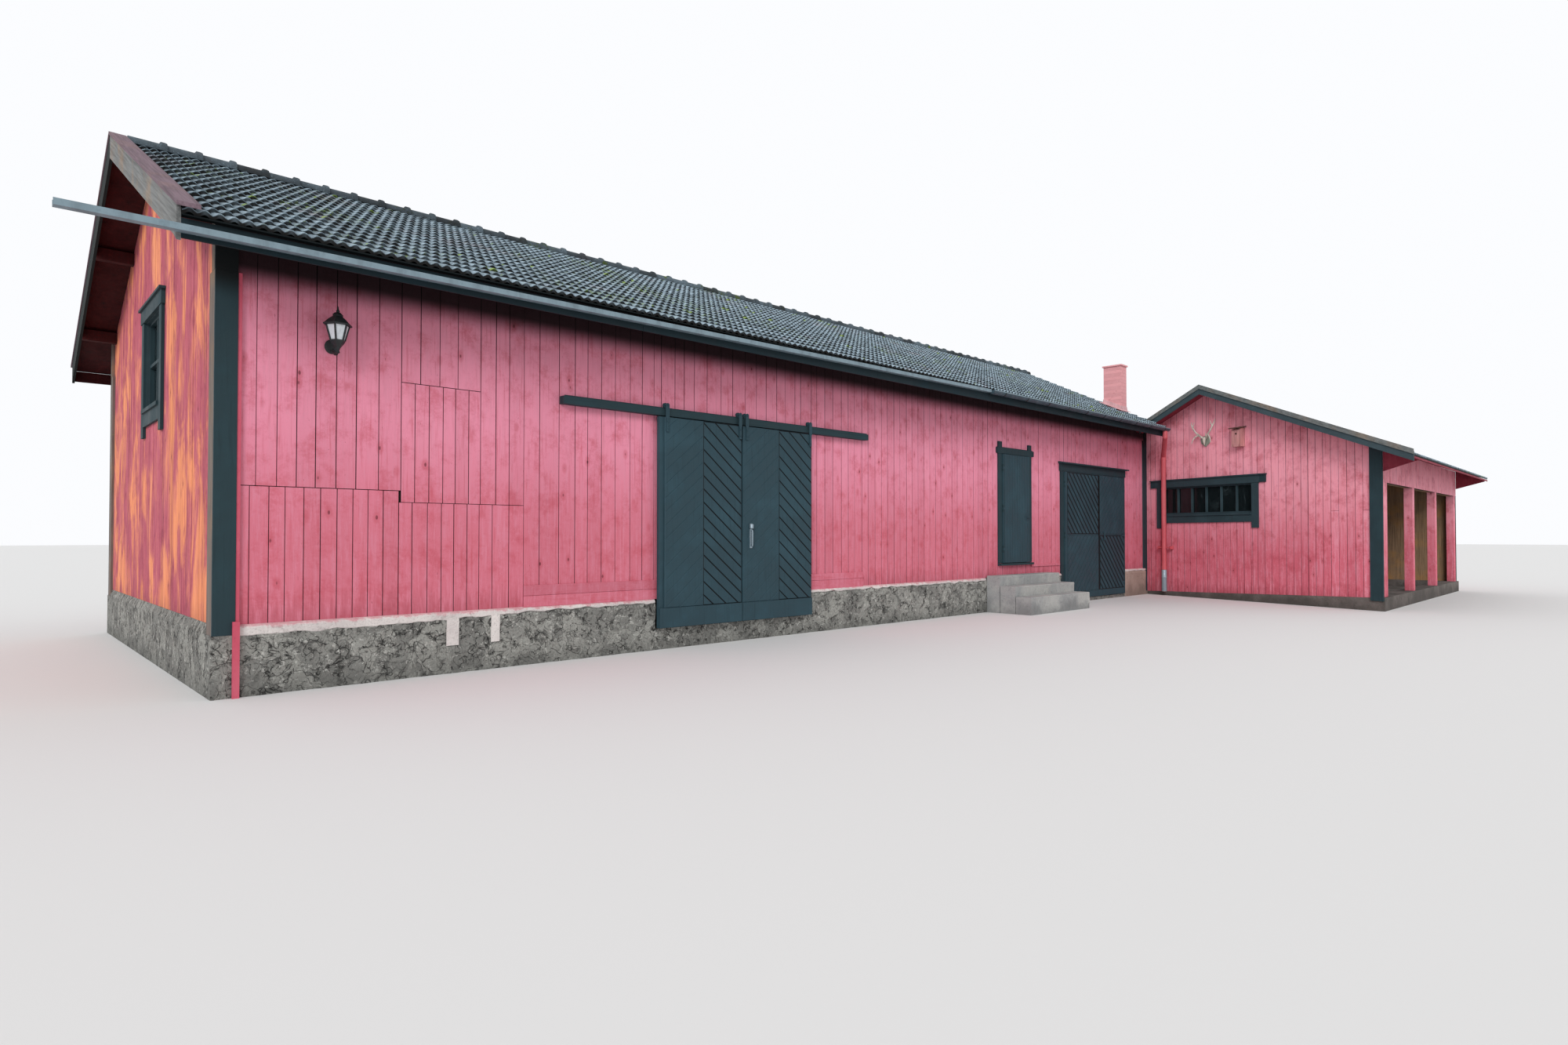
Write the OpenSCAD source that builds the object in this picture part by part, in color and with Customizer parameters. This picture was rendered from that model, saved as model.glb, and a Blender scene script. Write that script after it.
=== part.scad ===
// Red timber barn with a skewed side wing, drawn at real size in millimetres.
// X runs along the front wall, Y runs into the barn, Z is up from the lowest ground.
// The origin is the front left corner of the stone plinth, at the ground.

/* [Main barn] */
// Length of the front wall, from the left corner to the inner corner
main_l = 18150; // [17600:50:20000]
// Depth of the main barn
main_w = 6700; // [6200:50:7400]
// Thickness of the timber walls with their cladding
wall_t = 150; // [120:5:180]
// Height of the stone plinth above the lowest ground
plinth_top = 600; // [540:10:680]
// How far the plinth stands out past the cladding
plinth_out = 35; // [20:5:42]
// Height of the sloping mortar ledge on the plinth
ledge_h = 80; // [50:5:110]
// Thickness of the stone plinth
plinth_t = 300; // [240:10:360]

/* [Main roof] */
// Pitch of the main roof in degrees
roof_pitch = 25; // [23:0.5:28]
// Height of the tile edge at the eaves
eave_z = 3750; // [3650:10:3900]
// Reach of the tile edge past the wall
eave_out = 750; // [650:10:850]
// Reach of the roof past the left gable
gable_out = 365; // [300:5:450]
// Thickness of the roof boarding, battens and tiles
roof_t = 90; // [70:5:120]
// Distance of the cut right verge from the plane of the wing gable
verge_gap = 420; // [400:5:520]
// Reach of the right verge past the end wall
verge_lip = 40; // [20:5:80]
// Thickness of the tiles where they reach past the boarding
tile_t = 38; // [30:1:45]
// Radius of the ridge tiles
ridge_r = 88; // [75:1:110]

/* [Eaves] */
// Distance of the fascia's back from the wall
fascia_out = 680; // [600:5:700]
// Thickness of the fascia boards
fascia_t = 25; // [20:1:32]
// Height of the fascia's lower edge and of the soffit
soffit_z = 3525; // [3450:5:3600]
// Thickness of the soffit boards
soffit_t = 22; // [18:1:28]
// Height of a barge board, measured square to the slope
barge_h = 230; // [200:5:300]
// Thickness of a barge board
barge_t = 28; // [22:1:40]
// Width of the weathered planks that cover the tile edge
cover_w = 150; // [120:5:200]
// Thickness of those planks
cover_t = 30; // [22:1:40]
// Width of the purlins under the gable overhang
purlin_w = 110; // [90:5:140]
// Height of the purlins
purlin_h = 140; // [110:5:170]

/* [Gutters] */
// Height of the box gutter along the left part
box_gutter_h = 48; // [40:2:70]
// Width of the box gutter
box_gutter_w = 75; // [60:5:100]
// Sheet thickness of the gutters and pipe, thickened to be solid
gutter_t = 6; // [4:1:10]
// How far the box gutter runs past the left gable
box_gutter_out = 1080; // [900:10:1200]
// Fall of the box gutter over its length
box_gutter_fall = 100; // [40:10:140]
// Where the box gutter ends and the round one begins
gutter_change_x = 10400; // [9800:50:11000]
// Outer radius of the half-round gutter
round_gutter_r = 62; // [50:1:75]
// Distance of the round gutter's end from the inner corner
gutter_end = 660; // [600:10:800]
// Outer radius of the downpipe
pipe_r = 50; // [40:1:55]
// Gap between the downpipe and the wing's wall
pipe_off = 64; // [60:2:80]
// Distance of the downpipe from the inner corner, along the wing
pipe_x = 590; // [560:10:640]
// Height where the downpipe's neck ends
neck_z = 3120; // [3000:10:3250]
// Height of the downpipe's bracket
bracket_z = 1060; // [900:10:1400]

/* [Sliding doors] */
// Left edge of the pair of sliding doors
slide_x = 4350; // [4200:10:4500]
// Width of one sliding leaf
slide_w = 1270; // [1200:5:1320]
// Gap between the two closed leaves
slide_gap = 10; // [6:1:20]
// Height of the leaves' lower edge
slide_z = 260; // [230:5:300]
// Height of one leaf
slide_h = 2480; // [2300:10:2500]
// Thickness of a leaf
slide_t = 52; // [45:1:60]
// Gap between the wall and the back of a leaf
slide_off = 50; // [44:1:70]
// How far each leaf slides outwards
slide_travel = 1200; // [1150:10:1250]
// How far a leaf covers the wall beside the doorway
slide_lap = 100; // [60:5:140]
// Height of the kick board at the foot of a leaf
kick_h = 230; // [180:10:260]
// How far the kick board stands proud
kick_t = 18; // [12:1:24]
// Height of the track beam
track_h = 85; // [70:5:100]
// Depth of the track beam in front of the wall
track_t = 88; // [80:1:92]
// Radius of a hanger wheel
wheel_r = 32; // [26:1:38]
// Width of a hanger wheel
wheel_w = 22; // [18:1:28]
// Width of a hanger strap
strap_w = 50; // [40:2:60]
// Distance of a hanger from the edge of its leaf
hanger_in = 65; // [55:5:90]

/* [Entrance door] */
// Distance of the entrance leaf's left edge from the inner corner
entry_from_corner = 6220; // [6050:10:6350]
// Width of the entrance leaf
entry_w = 900; // [820:10:960]
// Height of the entrance threshold
entry_z = 850; // [810:5:900]
// Height of the entrance leaf
entry_h = 1965; // [1900:5:2000]

// Width of the raised floor to the left of the entrance leaf
raised_left = 2930; // [2600:10:3100]
// Width of the raised floor to the right of the entrance leaf
raised_right = 670; // [500:10:750]
// Thickness of the raised floor's boards
deck_t = 45; // [32:1:55]
// Width of a floor joist
joist_w = 75; // [63:1:100]
// Number of floor joists
joist_count = 8; // [6:1:10]

/* [Double doors] */
// Distance of the double doors' left edge from the inner corner
double_from_corner = 3940; // [3750:10:4050]
// Width of the wide left leaf
double_wl = 1485; // [1400:5:1520]
// Width of the narrow right leaf
double_wr = 1195; // [1100:5:1220]
// Height of the leaves' lower edge
double_z = 80; // [75:1:120]
// Height of the leaves
double_h = 2540; // [2400:10:2600]

/* [Hinged leaves] */
// Thickness of a hinged leaf
leaf_t = 45; // [38:1:52]
// Clearance round a hinged leaf
leaf_gap = 8; // [7:1:10]
// How far a hinged leaf covers the edge of its opening
leaf_lap = 45; // [30:1:60]
// Width of the door and window casings
casing_w = 115; // [90:5:130]
// Width of the casing to the right of the double doors
narrow_casing_w = 60; // [50:5:90]
// Height of the board over the entrance
entry_head = 115; // [90:5:140]
// Height of the board over the double doors
double_head = 145; // [120:5:170]
// How far a head board runs past the casing
head_lap = 30; // [10:5:60]
// Reach of the sloping cap over the double doors
cap_out = 110; // [90:5:130]
// Height of that cap at the wall
cap_h = 45; // [35:1:60]
// Height of its front edge
cap_edge_h = 25; // [18:1:30]
// Radius of a hinge knuckle
knuckle_r = 9; // [7:1:11]
// Length of a hinge
hinge_l = 120; // [90:10:150]
// Distance of the outer hinges from a leaf's ends
hinge_in = 250; // [180:10:300]
// Thickness of the casings
casing_t = 28; // [20:1:34]

/* [Wing] */
// Angle between the wing and a square corner
wing_skew = 18.3; // [17:0.1:19.5]
// Length of the wing's gable wall that stands free
wing_front = 5090; // [4950:10:5300]
// Distance of the wing's ridge from the inner corner, along the gable
wing_ridge_x = 1600; // [1500:10:1750]
// Height of the wing's ridge
wing_ridge_z = 4480; // [4380:10:4560]
// Pitch of the wing's gable in degrees
wing_pitch = 23; // [22:0.5:24]
// Length of the wing past the inner corner
wing_depth = 6450; // [6000:50:7000]
// Reach of the wing's roof past its gable wall
wing_gable_out = 370; // [330:5:380]
// Reach of the wing's roof past its side walls
wing_eave_out = 570; // [500:10:650]
// Height of the openings in the wing's right side
wing_bay_top = 2300; // [2200:10:2400]
// Number of those openings
wing_bays = 3; // [2:1:4]
// Width of the posts between them
wing_post_w = 150; // [120:5:200]
// Depth of the wing's barge board under the roof's face
wing_barge_low = 150; // [120:5:180]
// Thickness of the board that covers the wing's verge
verge_board_t = 18; // [14:1:24]
// How far that board stands over the roof's face
verge_board_up = 55; // [40:5:70]
// How far it reaches under the roof's face
verge_board_low = 35; // [20:5:60]
// Height of the wing's stone sill at the inner corner
wing_sill_low = 75; // [60:5:90]
// Height of the wing's stone sill at the outer corner
wing_sill_high = 240; // [200:5:280]

/* [Windows] */
// Distance of the gable window's middle from the front corner
gable_win_y = 3260; // [3200:10:3400]
// Width of the gable window's opening
gable_win_w = 1030; // [950:10:1100]
// Height of the gable window's sill edge
gable_win_z = 2760; // [2700:10:2800]
// Height of the gable window's opening
gable_win_h = 1000; // [950:10:1040]
// Distance of the wing window's opening from the inner corner
wing_win_x = 470; // [440:10:520]
// Width of the wing window's opening
wing_win_w = 2165; // [2050:5:2200]
// Height of the wing window's sill edge
wing_win_z = 1815; // [1760:5:1850]
// Height of the wing window's opening
wing_win_h = 605; // [560:5:650]
// Distance of a sash from the wall's face
sash_in = 30; // [20:5:50]
// Width of a window casing
win_casing_w = 145; // [120:5:170]
// Height of the boards over and under a window
win_board_h = 150; // [120:5:180]
// How far a window casing runs down past its opening
win_tail = 310; // [250:10:350]
// Height of a window's sill
sill_h = 41; // [35:1:50]
// Height of the strip over a window's upper board
win_cap_h = 26; // [20:1:34]
// Width of a sash bar
bar_w = 34; // [28:1:40]
// Thickness of the sash
sash_t = 40; // [34:1:46]
// Thickness of the glass
glass_t = 4; // [3:1:6]

/* [Steps and fittings] */
// Width of the granite steps
step_w = 2100; // [1900:10:2300]
// Depth of one tread
step_d = 300; // [270:5:330]
// Height of one step
step_h = 170; // [150:5:180]
// Height of the top tread
step_top = 640; // [600:10:680]
// Reach of the steps to the right of the entrance leaf
step_right = 670; // [600:10:750]
// Chimney size along the front
chimney_x = 290; // [260:5:320]
// Chimney size into the barn
chimney_y = 400; // [360:5:440]
// Height of the chimney's top
chimney_top = 5190; // [5000:10:5400]
// Width of the corner board on the front
corner_w = 135; // [110:5:170]
// Width of the corner boards on the gable and the wing
side_corner_w = 190; // [150:5:220]
// Width of the inner corner board at the plinth
inner_corner_w = 100; // [80:5:140]
// Thickness of the corner boards
corner_t = 28; // [22:1:34]
// Distance of the wall lantern from the front left corner
lantern_x = 850; // [800:10:900]
// Height of the lantern's arm on the wall
lantern_z = 3020; // [2950:10:3080]
// Distance of the nest box from the inner corner
nest_x = 2390; // [2300:10:2500]
// Height of the nest box's floor
nest_z = 3170; // [3100:10:3250]
// Distance of the antler shield from the inner corner
trophy_x = 1585; // [1500:5:1650]
// Height of the antler shield's lower edge
trophy_z = 3250; // [3200:10:3300]

/* [Hidden] */
eps = 0.01;
seat = 0.1;
far = 40000;
main_far = main_l + main_w;

// Main roof: heights of its planes over a distance y from the front wall
slope = tan(roof_pitch);
roof_v = roof_t / cos(roof_pitch);
ridge_y = main_w / 2;
ridge_z = eave_z + (ridge_y + eave_out) * slope;
function roof_top(y) = ridge_z - abs(y - ridge_y) * slope;
function roof_under(y) = roof_top(y) - roof_v;
function wall_top(y) = roof_under(y) - seat;
boarding_out = fascia_out + fascia_t;
tile_v = tile_t / cos(roof_pitch);

// Wing: its long walls and its ridge run along X, its gable wall stands askew
wing_slope = tan(wing_pitch) / cos(wing_skew);
wing_roof_v = roof_t * norm([1, wing_slope]);
wing_ridge_y = -wing_ridge_x * cos(wing_skew);
wing_right_y = -wing_front * cos(wing_skew);
wing_left_y = 2 * wing_ridge_y - wing_right_y;
wing_eave_y = wing_right_y - wing_eave_out;
wing_corner_x = main_l - wing_front * sin(wing_skew);
wing_end_x = main_l + wing_depth;
function wing_top(y) = wing_ridge_z - abs(y - wing_ridge_y) * wing_slope;
function wing_under(y) = wing_top(y) - wing_roof_v;
function wing_wall_top(y) = wing_under(y) - seat;
function wing_sill(x) = wing_sill_low + (wing_sill_high - wing_sill_low) * max(0, x) / wing_front;

end_out = verge_gap + verge_lip;
corner_back = wall_t / cos(wing_skew);

// Door openings through the wall
slide_open_x0 = slide_x + slide_lap;
slide_open_x1 = slide_x + 2 * slide_w + slide_gap - slide_lap;
slide_open_z = slide_z - 10;
slide_open_top = slide_z + slide_h - slide_lap / 2;
entry_x = main_l - entry_from_corner;
raised_x0 = entry_x - raised_left;
raised_x1 = entry_x + entry_w + raised_right;
entry_open_x0 = entry_x + leaf_lap;
entry_open_x1 = entry_x + entry_w - leaf_lap;
entry_open_z = entry_z - 10;
entry_open_top = entry_z + entry_h - leaf_lap;
double_x = main_l - double_from_corner;
double_x1 = double_x + double_wl + leaf_gap + double_wr;
double_open_x0 = double_x + leaf_lap;
double_open_x1 = double_x1 - leaf_lap;
double_open_z = double_z - 10;
double_open_top = double_z + double_h - leaf_lap;

// Materials' plain colours
red = [0.62, 0.20, 0.22];
black = [0.10, 0.13, 0.14];
stone = [0.50, 0.49, 0.48];
tile = [0.24, 0.27, 0.29];
steel = [0.55, 0.62, 0.66];
grey_wood = [0.50, 0.47, 0.44];

// A round bar between two points
module rod(a, b, r) {
    d = b - a;
    translate(a) rotate([0, acos(d[2] / norm(d)), atan2(d[1], d[0])])
        cylinder(h = norm(d), r = r, $fn = 32);
}

// A plain block between two corners
module block(a, b) {
    translate(a) cube(b - a);
}

// An outline in (y, z) carried along X from x0 to x1
module along_x(x0, x1) {
    translate([x0, 0, 0]) rotate([90, 0, 90]) linear_extrude(x1 - x0) children();
}

// An outline in (x, z) carried along Y from y0 to y1
module along_y(y0, y1) {
    translate([0, y1, 0]) rotate([90, 0, 0]) linear_extrude(y1 - y0) children();
}

// The wing's frame: x along the gable, y into the wing, origin at the inner corner
module in_wing() {
    translate([main_l, 0, 0]) rotate([0, 0, -90 - wing_skew]) children();
}

// Everything on the wing's side of a plane that lies off in front of the wing gable
module wing_side(off) {
    in_wing() translate([-far, -off, -far / 4]) cube([2 * far, far, far]);
}

// The space over the wing's roof underside, behind the end wall's outer face
module over_wing_ceiling() {
    intersection() {
        along_x(0, far) polygon([[main_w, wing_wall_top(main_w)],
            [wing_ridge_y, wing_wall_top(wing_ridge_y)], [-main_w, wing_wall_top(-main_w)],
            [-main_w, far / 4], [main_w, far / 4]]);
        wing_side(end_out);
    }
}

// One stretch of the front wall between two places
module front_wall(x0, x1, z0) {
    along_x(x0, x1) polygon([[0, z0], [wall_t, z0], [wall_t, wall_top(wall_t)],
        [0, wall_top(0)]]);
}

// Foundations
module ledge_cut() {
    polygon([[plinth_out, plinth_top - ledge_h], [0, plinth_top], [0, plinth_top + 1],
        [plinth_out + 1, plinth_top + 1], [plinth_out + 1, plinth_top - ledge_h]]);
}

// What is cut from the plinth's top edge: its slope, and seats for the corner boards
module plinth_cuts() {
    along_x(-far / 4, far) mirror([1, 0]) ledge_cut();
    along_x(-far / 4, far) translate([main_w, 0]) ledge_cut();
    along_y(-far / 4, far) mirror([1, 0]) ledge_cut();
    block([-plinth_out - 1, -plinth_out - 1, plinth_top - ledge_h], [corner_w, 0, plinth_top + 1]);
    block([-plinth_out - 1, -1, plinth_top - ledge_h], [0, side_corner_w, plinth_top + 1]);
    block([-plinth_out - 1, main_w - side_corner_w, plinth_top - ledge_h],
        [0, main_w + 1, plinth_top + 1]);
    block([-plinth_out - 1, main_w, plinth_top - ledge_h],
        [corner_w, main_w + plinth_out + 1, plinth_top + 1]);
}

module front_plinth() {
    color(stone) difference() {
        union() {
            block([-plinth_out, -plinth_out, 0], [slide_x, plinth_t, plinth_top]);
            block([slide_x, -plinth_out, 0], [slide_x + 2 * slide_w, plinth_t, slide_open_z]);
            block([slide_x + 2 * slide_w, -plinth_out, 0], [double_open_x0, plinth_t, plinth_top]);
            block([double_open_x0, -plinth_out, 0], [double_open_x1, plinth_t, double_open_z]);
            block([double_open_x1, -plinth_out, 0], [main_far, plinth_t, plinth_top]);
        }
        block([double_x - leaf_gap - casing_w, -plinth_out - 1, double_z],
            [double_x1 + leaf_gap + narrow_casing_w, 0, plinth_top + 1]);
        block([main_l - inner_corner_w, -plinth_out - 1, double_z], [main_far, 0, plinth_top + 1]);
        plinth_cuts();
        wing_side(0);
    }
}

module back_plinth() {
    color(stone) difference() {
        block([-plinth_out, plinth_t, 0], [main_far, main_w + plinth_out, plinth_top]);
        difference() {
            block([plinth_t, -eps, -1], [main_far, main_w - plinth_t, plinth_top + 1]);
            wing_side(end_out + plinth_t);
        }
        plinth_cuts();
        wing_side(end_out);
    }
}

module wing_plinth() {
    side_in = wing_right_y - plinth_out + plinth_t;
    color(stone) {
        intersection() {
            in_wing() along_y(0, plinth_t) polygon([[-plinth_t / cos(wing_skew), 0],
                [wing_front + plinth_out, 0], [wing_front + plinth_out, wing_sill(wing_front)],
                [0, wing_sill(0)], [-plinth_t / cos(wing_skew), wing_sill(0)]]);
            block([0, wing_right_y - plinth_out, -1], [main_far, main_w, plinth_top]);
        }
        intersection() {
            union() {
                block([0, wing_right_y - plinth_out, 0], [wing_end_x, side_in, wing_sill_high]);
                block([wing_end_x - plinth_t, side_in - 1, 0],
                    [wing_end_x, wing_left_y - plinth_t + 1, wing_sill_high]);
            }
            wing_side(-plinth_t);
        }
        intersection() {
            block([0, wing_left_y - plinth_t, 0], [wing_end_x, wing_left_y, wing_sill_high]);
            wing_side(end_out);
        }
    }
}

module floor_slabs() {
    color(stone) {
        block([plinth_t, plinth_t, 0], [raised_x0, main_w - plinth_t, slide_open_z]);
        difference() {
            block([raised_x1, plinth_t, 0], [main_far, main_w - plinth_t, double_open_z]);
            wing_side(end_out + plinth_t);
        }
        difference() {
            intersection() {
                block([0, wing_right_y - plinth_out + plinth_t, 0],
                    [wing_end_x - plinth_t, wing_left_y - plinth_t, wing_sill_low]);
                wing_side(end_out);
            }
            difference() {
                block([0, -main_w, -1], [main_far, plinth_t, plinth_top]);
                wing_side(-plinth_t);
            }
        }
    }
}

module raised_floor() {
    pitch = (raised_x1 - raised_x0 - joist_w) / (joist_count - 1);
    color(grey_wood) {
        block([raised_x0, wall_t, entry_open_z - deck_t],
            [raised_x1, main_w - wall_t, entry_open_z]);
        for (i = [0 : joist_count - 1])
            block([raised_x0 + i * pitch, wall_t, plinth_top],
                [raised_x0 + i * pitch + joist_w, main_w - wall_t, entry_open_z - deck_t + 1]);
    }
}

// Walls of the main barn
module front_wall_left() {
    color(red) front_wall(wall_t, slide_open_x0, plinth_top);
}

// The wall over each doorway, and under the entrance
module walls_round_doors() {
    color(red) {
        block([entry_open_x0, 0, plinth_top], [entry_open_x1, wall_t, entry_open_z]);
        front_wall(slide_open_x0, slide_open_x1, slide_open_top);
        front_wall(entry_open_x0, entry_open_x1, entry_open_top);
        front_wall(double_open_x0, double_open_x1, double_open_top);
    }
}

module front_wall_middle() {
    color(red) front_wall(slide_open_x1, entry_open_x0, plinth_top);
}

module front_wall_between_doors() {
    color(red) front_wall(entry_open_x1, double_open_x0, plinth_top);
}

module front_wall_end() {
    color(red) difference() {
        front_wall(double_open_x1, main_far, plinth_top);
        wing_side(0);
        over_wing_ceiling();
    }
}

module left_gable_wall() {
    color(red) difference() {
        along_x(0, wall_t) polygon([[0, plinth_top], [main_w, plinth_top],
            [main_w, wall_top(main_w)], [ridge_y, wall_top(ridge_y)], [0, wall_top(0)]]);
        block([-1, gable_win_y - gable_win_w / 2, gable_win_z - sill_h],
            [wall_t + 1, gable_win_y + gable_win_w / 2, gable_win_z + gable_win_h]);
    }
}

module rear_wall() {
    color(red) difference() {
        along_x(wall_t, main_far) polygon([[main_w - wall_t, plinth_top], [main_w, plinth_top],
            [main_w, wall_top(main_w)], [main_w - wall_t, wall_top(main_w - wall_t)]]);
        wing_side(end_out);
    }
}

module end_gable_wall() {
    color(red) intersection() {
        in_wing() block([-far / 2, -end_out - wall_t, plinth_top + seat],
            [far / 2, -end_out, far / 4]);
        along_x(0, far) polygon([[wall_t, 0], [main_w - wall_t, 0],
            [main_w - wall_t, wall_top(main_w - wall_t)], [ridge_y, wall_top(ridge_y)],
            [wall_t, wall_top(wall_t)]]);
    }
}

// Roof of the main barn
plank_x0 = -gable_out - barge_t - 12;

module main_slab() {
    along_x(-gable_out, main_far) polygon([[-eave_out, roof_top(-eave_out)], [ridge_y, ridge_z],
        [ridge_y, roof_under(ridge_y)], [-boarding_out, roof_under(-boarding_out)],
        [-boarding_out, roof_top(-boarding_out) - tile_v], [-eave_out, eave_z - tile_v]]);
}

module main_roof_front() {
    color(tile) difference() {
        main_slab();
        wing_side(verge_gap);
        chimney_shaft(5);
    }
}

module main_roof_rear() {
    color(tile) difference() {
        translate([0, main_w, 0]) mirror([0, 1, 0]) main_slab();
        wing_side(verge_gap);
    }
}

module main_ridge() {
    color(tile) difference() {
        translate([plank_x0 + cover_w + 5, ridge_y, ridge_z - ridge_r * 0.3]) rotate([0, 90, 0])
            cylinder(h = main_far, r = ridge_r, $fn = 48);
        along_x(-far / 4, far) polygon([[-main_w, roof_top(-main_w) + seat],
            [ridge_y, ridge_z + seat], [2 * main_w, roof_top(2 * main_w) + seat]]);
        wing_side(verge_gap);
    }
}

// A barge board over the front or the rear slope, cut upright at the eave
module barge(side) {
    run = ridge_y + boarding_out;
    drop = barge_h / cos(roof_pitch);
    translate([-gable_out - barge_t, ridge_y, 0]) rotate([90, 0, 90]) linear_extrude(barge_t)
        polygon([[side, ridge_z - slope], [side * run, ridge_z - run * slope],
            [side * run, ridge_z - run * slope - drop - 15],
            [side * (run - barge_h / 2), ridge_z - (run - barge_h / 2) * slope - drop],
            [side, ridge_z - drop - slope]]);
}

module barge_boards() {
    color(grey_wood) {
        barge(1);
        barge(-1);
    }
}

module verge_plank(side) {
    run = ridge_y + eave_out + tile_t;
    up = cover_t / cos(roof_pitch);
    translate([plank_x0, ridge_y, 0]) rotate([90, 0, 90]) linear_extrude(cover_w)
        polygon([[side, ridge_z - slope + seat], [side * run, ridge_z - run * slope + seat],
            [side * run, ridge_z - run * slope + up], [side, ridge_z - slope + up]]);
}

module verge_planks() {
    color(grey_wood) {
        verge_plank(1);
        verge_plank(-1);
    }
}

// Purlins that carry the roof past the left gable
module gable_purlins() {
    color(red) for (t = [-0.92, -0.46, 0, 0.46, 0.92]) {
        y = ridge_y + t * ridge_y;
        z = min(wall_top(y - purlin_w / 2), wall_top(y + purlin_w / 2));
        block([-gable_out, y - purlin_w / 2, z - purlin_h], [0, y + purlin_w / 2, z]);
    }
}

// Fascia and soffit of one eave; the rear one is the front one's mirror
module eave() {
    y0 = -fascia_out - fascia_t;
    along_x(-gable_out, main_far) polygon([[y0, soffit_z], [0, soffit_z],
        [0, soffit_z + soffit_t], [-fascia_out, soffit_z + soffit_t],
        [-fascia_out, wall_top(-fascia_out)], [y0, wall_top(y0)]]);
}

module eave_boards() {
    color(black) difference() {
        union() {
            eave();
            translate([0, main_w, 0]) mirror([0, 1, 0]) eave();
        }
        wing_side(verge_gap);
    }
}

// Gutters and pipe
module box_gutter() {
    z1 = eave_z - tile_v - 8;
    y1 = -boarding_out;
    len = gutter_change_x + box_gutter_out - 10;
    color(steel) translate([-box_gutter_out, y1, z1 - box_gutter_fall])
        rotate([0, -atan(box_gutter_fall / len), 0])
        translate([0, -box_gutter_w, -box_gutter_h]) difference() {
            cube([len, box_gutter_w, box_gutter_h]);
            translate([-1, gutter_t, gutter_t])
                cube([len + 2, box_gutter_w - 2 * gutter_t, box_gutter_h]);
        }
}

round_gutter_y = -boarding_out - round_gutter_r;
round_gutter_z = eave_z - tile_v - 20;
round_gutter_x1 = main_l - gutter_end;

module round_gutter() {
    len = round_gutter_x1 - gutter_change_x;
    color(black) translate([gutter_change_x, round_gutter_y, round_gutter_z]) rotate([0, 90, 0])
        difference() {
            cylinder(h = len, r = round_gutter_r, $fn = 48);
            translate([0, 0, gutter_t / 2])
                cylinder(h = len - gutter_t, r = round_gutter_r - gutter_t, $fn = 48);
            translate([-far / 4, -far / 4, -far / 4]) cube([far / 4, far / 2, far / 2]);
        }
}

// The downpipe drops from the gutter, runs back under the eave and down the wing's wall
module downpipe() {
    off = pipe_off + pipe_r;
    foot = [main_l - pipe_x * cos(90 - wing_skew) - off * cos(wing_skew),
        -pipe_x * sin(90 - wing_skew) + off * sin(wing_skew), wing_sill_low + 20];
    outlet = [round_gutter_x1 - 3 * pipe_r, round_gutter_y, round_gutter_z - round_gutter_r - 1];
    bend = [outlet[0], outlet[1], outlet[2] - 2 * pipe_r - 35];
    neck = [foot[0], foot[1], neck_z];
    color(red) {
        rod(bend, outlet, pipe_r);
        rod(neck, bend, pipe_r);
        rod(foot, neck, pipe_r);
        for (p = [bend, neck]) translate(p) sphere(r = pipe_r + 4, $fn = 32);
        in_wing() {
            translate([pipe_x, -off, bracket_z]) cylinder(h = 30, r = pipe_r + 4, $fn = 32);
            block([pipe_x - 3.4 * pipe_r, -off - 12, bracket_z],
                [pipe_x + 3.4 * pipe_r, -off + 12, bracket_z + 30]);
            for (side = [-1, 1]) block([pipe_x + side * 3 * pipe_r - 18, -off, bracket_z - 20],
                [pipe_x + side * 3 * pipe_r + 18, 0, bracket_z + 50]);
        }
    }
}

// Chimney, a rendered shaft from the ground through the front slope
chimney_y0 = wall_t + 20;
chimney_x0 = main_l - (end_out + wall_t) / cos(wing_skew) + chimney_y0 * tan(wing_skew)
    - chimney_x - 20;
module chimney_shaft(grow) {
    block([chimney_x0 - grow, chimney_y0 - grow, double_open_z],
        [chimney_x0 + chimney_x + grow, chimney_y0 + chimney_y + grow, chimney_top]);
}

module chimney() {
    cap_lip = 25;
    cap_h = 30;
    color([0.72, 0.38, 0.34]) {
        difference() {
            chimney_shaft(0);
            block([0, 0, -1], [main_far, plinth_t, plinth_top]);
            intersection() {
                block([0, 0, -1], [main_far, main_w, plinth_top]);
                wing_side(end_out + plinth_t);
            }
        }
        block([chimney_x0 - cap_lip, chimney_y0 - cap_lip, chimney_top],
            [chimney_x0 + chimney_x + cap_lip, chimney_y0 + chimney_y + cap_lip, chimney_top + cap_h]);
    }
}

module corner_boards() {
    foot = plinth_top - ledge_h;
    color(black) {
        block([-corner_t, -corner_t, foot], [corner_w, 0, soffit_z]);
        block([-corner_t, main_w, foot], [corner_w, main_w + corner_t, soffit_z]);
        difference() {
            union() {
                block([main_l - side_corner_w, -corner_t, plinth_top], [main_far, 0, soffit_z]);
                block([main_l - inner_corner_w, -corner_t, double_z], [main_far, 0, plinth_top + 1]);
            }
            wing_side(0);
        }
        difference() {
            in_wing() block([wing_front - side_corner_w, -corner_t, wing_sill_high - 60],
                [wing_front + corner_t, 0, wing_ridge_z]);
            over_wing_ceiling();
        }
    }
}

module gable_corner_boards() {
    foot = plinth_top - ledge_h;
    color(grey_wood) {
        block([-corner_t, 0, foot], [0, side_corner_w, soffit_z]);
        block([-corner_t, main_w - side_corner_w, foot], [0, main_w, soffit_z]);
    }
}

// Sliding doors
track_x0 = slide_x - slide_travel - 40;
track_x1 = slide_x + 2 * slide_w + slide_gap + slide_travel + 40;
track_z = slide_z + slide_h + 15;
rail_z = track_z + track_h;
rail_h = 12;
rail_t = 8;
wheel_y = -(track_t + slide_off) / 2;
leaf_front = -slide_off - slide_t;

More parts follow.
